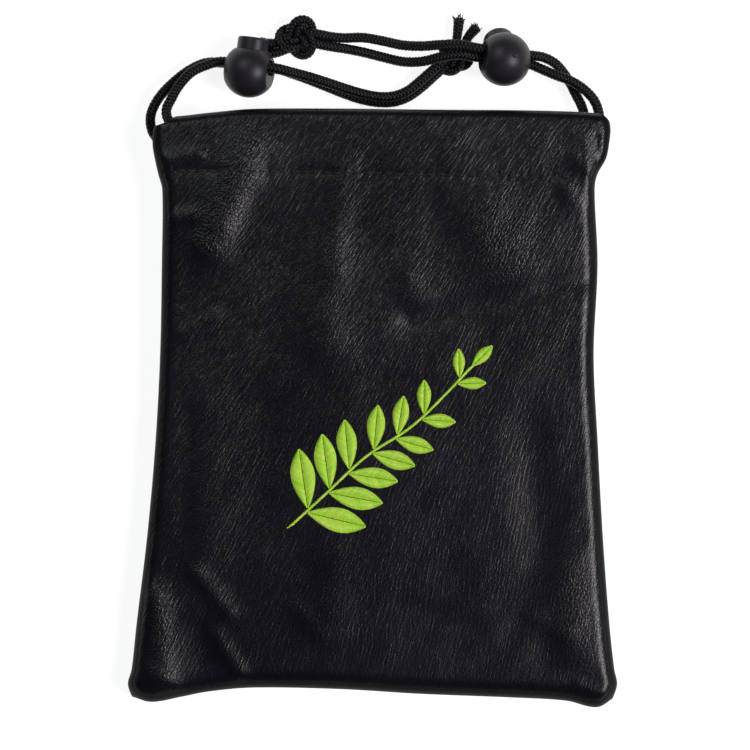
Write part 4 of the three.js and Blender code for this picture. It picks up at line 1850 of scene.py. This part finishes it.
    def carve(self, name: str, body: bpy.types.Object,
              cuts: Sequence[bpy.types.Object]) -> bpy.types.Object:
        """Cut a lump, soften its edges and set it in place.

        Args:
            name: The piece's name.
            body: What is cut.
            cuts: What it is cut with.

        Returns:
            The piece, in metres.
        """
        for cut in cuts:
            change = body.modifiers.new(cut.name, "BOOLEAN")
            change.operation, change.object, change.solver = "DIFFERENCE", cut, "EXACT"
        even = body.modifiers.new("even", "REMESH")
        even.mode, even.voxel_size, even.use_smooth_shade = "VOXEL", self.voxel, True
        soft = body.modifiers.new("soft", "SMOOTH")
        soft.factor, soft.iterations = self.soften_by, self.soften
        bpy.context.view_layer.update()
        depsgraph = bpy.context.evaluated_depsgraph_get()
        mesh = bpy.data.meshes.new_from_object(body.evaluated_get(depsgraph))
        mesh.name = name
        mesh.transform(Matrix.Scale(MM, 4) @ self.run.lock.matrix())
        mesh.shade_smooth()
        for lump in (body, *cuts):
            bpy.data.objects.remove(lump)
        return placed(name, mesh)

    def gate(self, body: bpy.types.Object) -> None:
        """Raise the small pip that the mould's gate left on the ball.

        Args:
            body: The finished ball.
        """
        way = Vector(self.gate_way).normalized()
        centre = self.run.lock.matrix().translation * MM
        for vertex in body.data.vertices:
            arm = vertex.co - centre
            away = (arm - way * arm.dot(way)).length / (self.gate_size * MM)
            if arm.dot(way) > 0 and away < self.gate_reach:
                vertex.co += way * (self.gate_rise * MM * math.exp(-away**self.gate_power))

    def build(self, finish: bpy.types.Material) -> list[bpy.types.Object]:
        """Make the ball and its button.

        Args:
            finish: The plastic.

        Returns:
            The ball and the button.
        """
        name = self.run.name
        hole = self.lump("hole", self.slot(self.hole_height, self.hole_rise))
        cuts = [self.lump("bore", self.bore), hole]
        cuts += [self.lump(f"flat_{k}", self.side_cut(side)) for k, side in enumerate((-1.0, 1.0))]
        body = self.carve(f"{name}_lock_ball", self.lump("ball", self.ball), cuts)
        low, high = self.hole_low, self.hole_rise + self.cord / 2 + self.gap + self.travel
        way = self.lump("way", self.slot(high - low, (high + low) / 2))
        button = self.carve(f"{name}_lock_plunger", self.lump("plunger", self.plunger), [way])
        if not self.run.left:
            self.gate(body)
        settle(body, "pouch", finish)
        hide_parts(f"{name}_lock_body")
        settle(button, f"{name}_button", finish)
        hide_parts(f"{name}_lock_button")
        return [body, button]


@dataclass
class DrawCord:
    """One braided cord from its knot through the lock and both casings and back."""

    run: CordRun
    form: PouchForm
    lock: BallLock
    braid: Braid = field(default_factory=Braid)
    diameter: float = 3.2
    plump: float = 1.76
    length: float = 0.505
    lock_approach: float = 9.5
    lock_grip: float = 7.6
    grip_taper: float = 3.0
    squeeze: float = 0.26
    channel_front: float = 14.9
    channel_back: float = 3.1
    lower_lane: float = 83.5
    lane_inset: float = 9.0
    loop_left: float = -59.5
    loop_right: float = 61.0
    loop_steps: int = 6
    curve_steps: int = 40
    fine_step: float = 0.26
    hidden_step: float = 0.8
    hidden_reach: float = 57.0
    hidden_top: float = 93.0

    def through_lock(self, offset: float) -> list[Array]:
        """A strand's straight way through the lock, from its left to its right face.

        Args:
            offset: How far the strand lies off the middle.

        Returns:
            Three points of it.
        """
        place = self.run.lock.matrix()
        steps = (-self.lock_approach, 0.0, self.lock_approach)
        return [np.array(place @ Vector((x, self.lock.hole_rise, offset))) for x in steps]

    def lane(self, y: float, z: float) -> list[Array]:
        """A strand's way along a casing.

        Args:
            y: How far up the pouch it lies.
            z: Its height.

        Returns:
            Three points, from left to right.
        """
        middle = (self.form.hem_left + self.form.hem_right) / 2
        xs = (self.loop_left + self.lane_inset, middle, self.loop_right - self.lane_inset)
        return [np.array([x, y, z]) for x in xs]

    def far_loop(self, x: float, start: Array, stop: Array) -> list[Array]:
        """The half turn from one casing to the other at the far side.

        Args:
            x: Where the loop begins, across.
            start: The lane that it leaves, at the middle.
            stop: The lane that it enters, at the middle.

        Returns:
            Points round the loop.
        """
        centre, arm = (start + stop) / 2, (start - stop) / 2
        bulge = np.array([math.copysign(float(np.linalg.norm(arm)), x), 0.0, 0.0])
        centre = centre + np.array([x, 0.0, 0.0])
        angles = math.pi * np.arange(self.loop_steps + 1) / self.loop_steps
        return [centre + arm * math.cos(a) + bulge * math.sin(a) for a in angles]

    def route(self) -> Array:
        """All the points that the cord passes.

        Returns:
            The points, in order.
        """
        run, offset, upper = self.run, self.lock.strand_offset, self.form.upper_lane
        way = 1 if run.left else -1
        out_z, back_z = (self.channel_front, self.channel_back)[::way]
        near, far = (self.loop_left, self.loop_right)[::way]
        start, stop = np.array([0.0, upper, out_z]), np.array([0.0, self.lower_lane, back_z])
        shift = np.array([near, 0.0, 0.0])
        return np.array([
            *run.knot_to_lock,
            *self.through_lock(offset)[::-way],
            *run.lock_to_casing,
            start + shift,
            *self.lane(upper, out_z)[::way],
            *self.far_loop(far, start, stop),
            *self.lane(self.lower_lane, back_z)[::-way],
            stop + shift,
            *run.casing_to_lock,
            *self.through_lock(-offset)[::way],
            *run.lock_to_knot,
        ], float)

    def line(self) -> Array:
        """The centre line, in short steps where the cord shows and longer ones in the casings.

        Returns:
            Points along the cord, in millimetres.
        """
        dense = routed_curve(self.route(), self.curve_steps)
        gaps = np.linalg.norm(np.diff(dense, axis=0), axis=1)
        middle = (dense[1:] + dense[:-1]) / 2
        hidden = (np.abs(middle[:, 0]) < self.hidden_reach) & (middle[:, 1] < self.hidden_top)
        step = np.where(hidden, self.hidden_step, self.fine_step)
        count = np.concatenate([[0.0], np.cumsum(gaps / step)])
        return even_steps(dense, count, np.linspace(0, count[-1], int(count[-1]) + 1))

    def girth(self, line: Array) -> Array:
        """The cord's radius at each place, less where the lock grips it."""
        away = np.linalg.norm(line - np.array(self.run.lock.matrix().translation), axis=1)
        return self.plump - self.squeeze * smooth((self.lock_grip - away) / self.grip_taper)

    def build(self, finish: bpy.types.Material,
              ends: Sequence[bpy.types.Object]) -> bpy.types.Object:
        """Make the cord.

        Args:
            finish: Its finish.
            ends: The knot and lock that are on it; not used.

        Returns:
            The cord's object.
        """
        line = self.line()
        yarn = self.braid.plait(line, self.girth(line))
        piece = yarn.piece(f"{self.run.name}_braided_cord")
        settle(piece, "pouch", finish)
        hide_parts(f"{self.run.name}_cord")
        return piece


@dataclass
class EndKnot:
    """The overhand knot that ties both ends of a cord, with its two cut tails."""

    run: CordRun
    braid: Braid = field(default_factory=lambda: Braid(sides=5))
    radius: float = 1.45
    tail_radius: float = 1.6
    tail_flare: float = 0.4
    pair: float = 1.15
    cross_lift: float = 1.35
    samples: int = 361
    curve_steps: int = 24
    step: float = 0.3
    fewest_steps: int = 4
    fibres: int = 46
    fibre_points: int = 5
    fibre: float = 0.13
    fibre_reach: tuple[float, float] = (0.2, 1.6)
    fibre_length: tuple[float, float] = (0.9, 1.9)
    fibre_bend: float = 0.35
    fibre_spread: float = 0.35
    fibre_root: float = 0.7
    fibre_floor: float = 0.2

    def lobes(self, offset: float) -> Array:
        """One of the two strands that run side by side round the knot.

        Args:
            offset: How far the strand lies off the knot's own line.

        Returns:
            Points along it.
        """
        run = self.run
        t = np.linspace(0, 2 * math.pi, self.samples)
        flat = np.column_stack([
            run.knot_size * (np.sin(t) + 2 * np.sin(2 * t)),
            run.knot_size * (np.cos(t) - 2 * np.cos(2 * t)),
            -run.knot_flat * self.cross_lift * np.sin(3 * t),
        ])
        way = np.gradient(flat, axis=0)
        normal = unit(np.column_stack([-way[:, 1], way[:, 0], np.zeros(len(t))]))
        x, y, z = (flat + normal * offset).T
        c, s = math.cos(math.radians(run.knot_turn)), math.sin(math.radians(run.knot_turn))
        return np.column_stack([c * x - s * y, s * x + c * y, z]) + np.array(run.knot)

    def even(self, dense: Array) -> Array:
        """A line in even steps.

        Args:
            dense: Points close together.

        Returns:
            Points at even steps.
        """
        run = run_along(dense)
        count = max(self.fewest_steps, int(run[-1] / self.step))
        return even_steps(dense, run, np.linspace(0, run[-1], count))

    def frayed_end(self, work: ThreadWork, line: Array, rng: np.random.Generator) -> None:
        """Loose fibres at a cut end.

        Args:
            work: Where the fibres go.
            line: Points along the tail.
            rng: Seeded numbers for the fibres.
        """
        way = unit(line[-1] - line[-4])
        q = np.linspace(0, 1, self.fibre_points)[:, None]
        for _ in range(self.fibres):
            off = rng.normal(size=3)
            off -= way * (off @ way)
            off *= rng.uniform(*self.fibre_reach) / np.linalg.norm(off)
            bend = rng.normal(size=3) * self.fibre_bend
            tip = way * rng.uniform(*self.fibre_length) + off * self.fibre_spread
            strand = line[-1] - way * self.fibre_root + off + q * tip + q * q * bend
            strand[:, 2] = np.maximum(strand[:, 2], self.fibre_floor)
            work.lay(strand, self.fibre, rng.random())

    def build(self, finish: bpy.types.Material, fray: bpy.types.Material) -> list[bpy.types.Object]:
        """Make the knot with its tails, and the fray at their ends.

        Args:
            finish: The cord's finish.
            fray: The fibres' finish.

        Returns:
            The knot and the fray.
        """
        name = self.run.name
        rng = np.random.default_rng(SEED + 4)
        work = ThreadWork(sides=4)
        yarns = [self.braid.plait(self.even(self.lobes(offset)), self.radius)
                 for offset in (-self.pair, self.pair)]
        for points in self.run.tails:
            tail = self.even(routed_curve(np.array(points, float), self.curve_steps))
            flare = self.tail_flare * np.linspace(0, 1, len(tail)) ** 2
            yarns.append(self.braid.plait(tail, self.tail_radius + flare))
            self.frayed_end(work, tail, rng)
        piece = Yarn.joined(yarns).piece(f"{name}_cord_knot")
        ends = work.piece(f"{name}_cord_fray")
        return [settle(piece, "pouch", finish), settle(ends, "pouch", fray)]


@dataclass(frozen=True)
class SoftBox:
    """One studio lamp, aimed at the pouch; places are in metres."""

    name: str
    place: Point
    size: float
    power: float
    colour: Colour
    aim: Point = (0.0, 0.01, 0.01)

    def build(self) -> bpy.types.Object:
        """Hang the lamp.

        Returns:
            The lamp's object.
        """
        lamp = bpy.data.lights.new(self.name, "AREA")
        lamp.shape, lamp.size, lamp.energy, lamp.color = "DISK", self.size, self.power, self.colour
        hung = placed(self.name, lamp)
        hung.location = self.place
        way = Vector(self.aim) - Vector(self.place)
        hung.rotation_euler = way.to_track_quat("-Z", "Y").to_euler()
        return hung


@dataclass
class Studio:
    """Floor, lamps and the camera straight above; sizes are in metres."""

    middle: tuple[float, float] = (0.0008, 0.0109)
    picture: float = 0.24
    plane: float = 0.008
    far: float = 1.2
    sensor: float = 36.0
    floor_size: float = 6.0
    floor_z: float = -0.0002
    sky: Colour = (0.62, 0.7, 1.15)
    sky_strength: float = 0.055
    lamps: tuple[SoftBox, ...] = (
        SoftBox("right_window", (1.0, -0.2, 1.3), 0.7, 18.5, (1.0, 0.925, 1.0)),
        SoftBox("far_wall", (-0.62, 0.8, 1.3), 0.8, 4.8, (0.92, 1.0, 0.96)),
    )

    def camera(self) -> bpy.types.Object:
        """Set the camera that looks straight down.

        Returns:
            The camera.
        """
        lens = bpy.data.cameras.new("above")
        lens.sensor_width = self.sensor
        lens.lens = self.sensor * self.far / self.picture
        seen = placed("above", lens)
        seen.location = (*self.middle, self.plane + self.far)
        bpy.context.scene.camera = seen
        return seen

    def floor(self) -> bpy.types.Object:
        """Lay the floor.

        Returns:
            The floor.
        """
        half, z = self.floor_size / 2 / MM, self.floor_z / MM
        corners = [(x * half, y * half, z) for x, y in ((-1, -1), (1, -1), (1, 1), (-1, 1))]
        laid = new_piece("floor", np.array(corners), [(0, 1, 2, 3)])
        laid.data.materials.append(FloorFinish().material())
        return laid

    def build(self) -> None:
        """Set up the whole studio."""
        self.camera()
        self.floor()
        for lamp in self.lamps:
            lamp.build()
        world = bpy.data.worlds.new("sky")
        world.use_nodes = True
        background = world.node_tree.nodes["Background"]
        background.inputs["Color"].default_value = (*self.sky, 1.0)
        background.inputs["Strength"].default_value = self.sky_strength
        bpy.context.scene.world = world
        bpy.context.scene.view_settings.view_transform = "Standard"


FRONT_MESH = PanelMesh(edge=14, across=150, bottom=12, along=140, casing=16, fold=12, hem=4)
BACK_MESH = PanelMesh(edge=8, across=60, bottom=8, along=60, casing=12, fold=12, hem=4)
BLACK_THREAD = ThreadFinish("black_thread", (0.003, 0.003, 0.004), (0.011, 0.011, 0.014), 0.45, 0.1)
FRAYED_YARN = ThreadFinish("frayed_yarn", (0.004, 0.0036, 0.002), (0.03, 0.024, 0.011), 0.5, 0.1)
LIME_THREAD = ThreadFinish("lime_thread", (0.33, 0.8, 0.004), (0.74, 1.0, 0.12), 0.34, 0.15)


def main() -> None:
    """Build the pouch piece by piece, dress it and report the pieces."""
    logging.basicConfig(level=logging.INFO, format="%(message)s")
    form = PouchForm()
    Studio().build()
    leather, braid, plastic, black, fray = (finish.material() for finish in (
        LeatherFinish(), BraidFinish(), PlasticFinish(), BLACK_THREAD, FRAYED_YARN))
    pieces: list[bpy.types.Object] = []
    for run in (LEFT_RUN, RIGHT_RUN):
        lock = BallLock(run)
        on_lock = lock.build(plastic)
        knot = EndKnot(run).build(braid, fray)
        cord = DrawCord(run, form, lock).build(braid, [*knot, *on_lock])
        pieces += [*on_lock, *knot, cord]
    pieces.append(LeatherPanel(form, PanelSide.FRONT, FRONT_MESH).build(leather, "back_leather"))
    pieces.append(LeatherPanel(form, PanelSide.BACK, BACK_MESH).build(leather, "floor"))
    pieces += Stitching(form).build(black)
    pieces.append(LeafSprig(form).build(LIME_THREAD.material()))
    for piece in pieces:
        LOG.info("%s: %d faces", piece.name, len(piece.data.polygons))


if __name__ == "__main__":
    main()
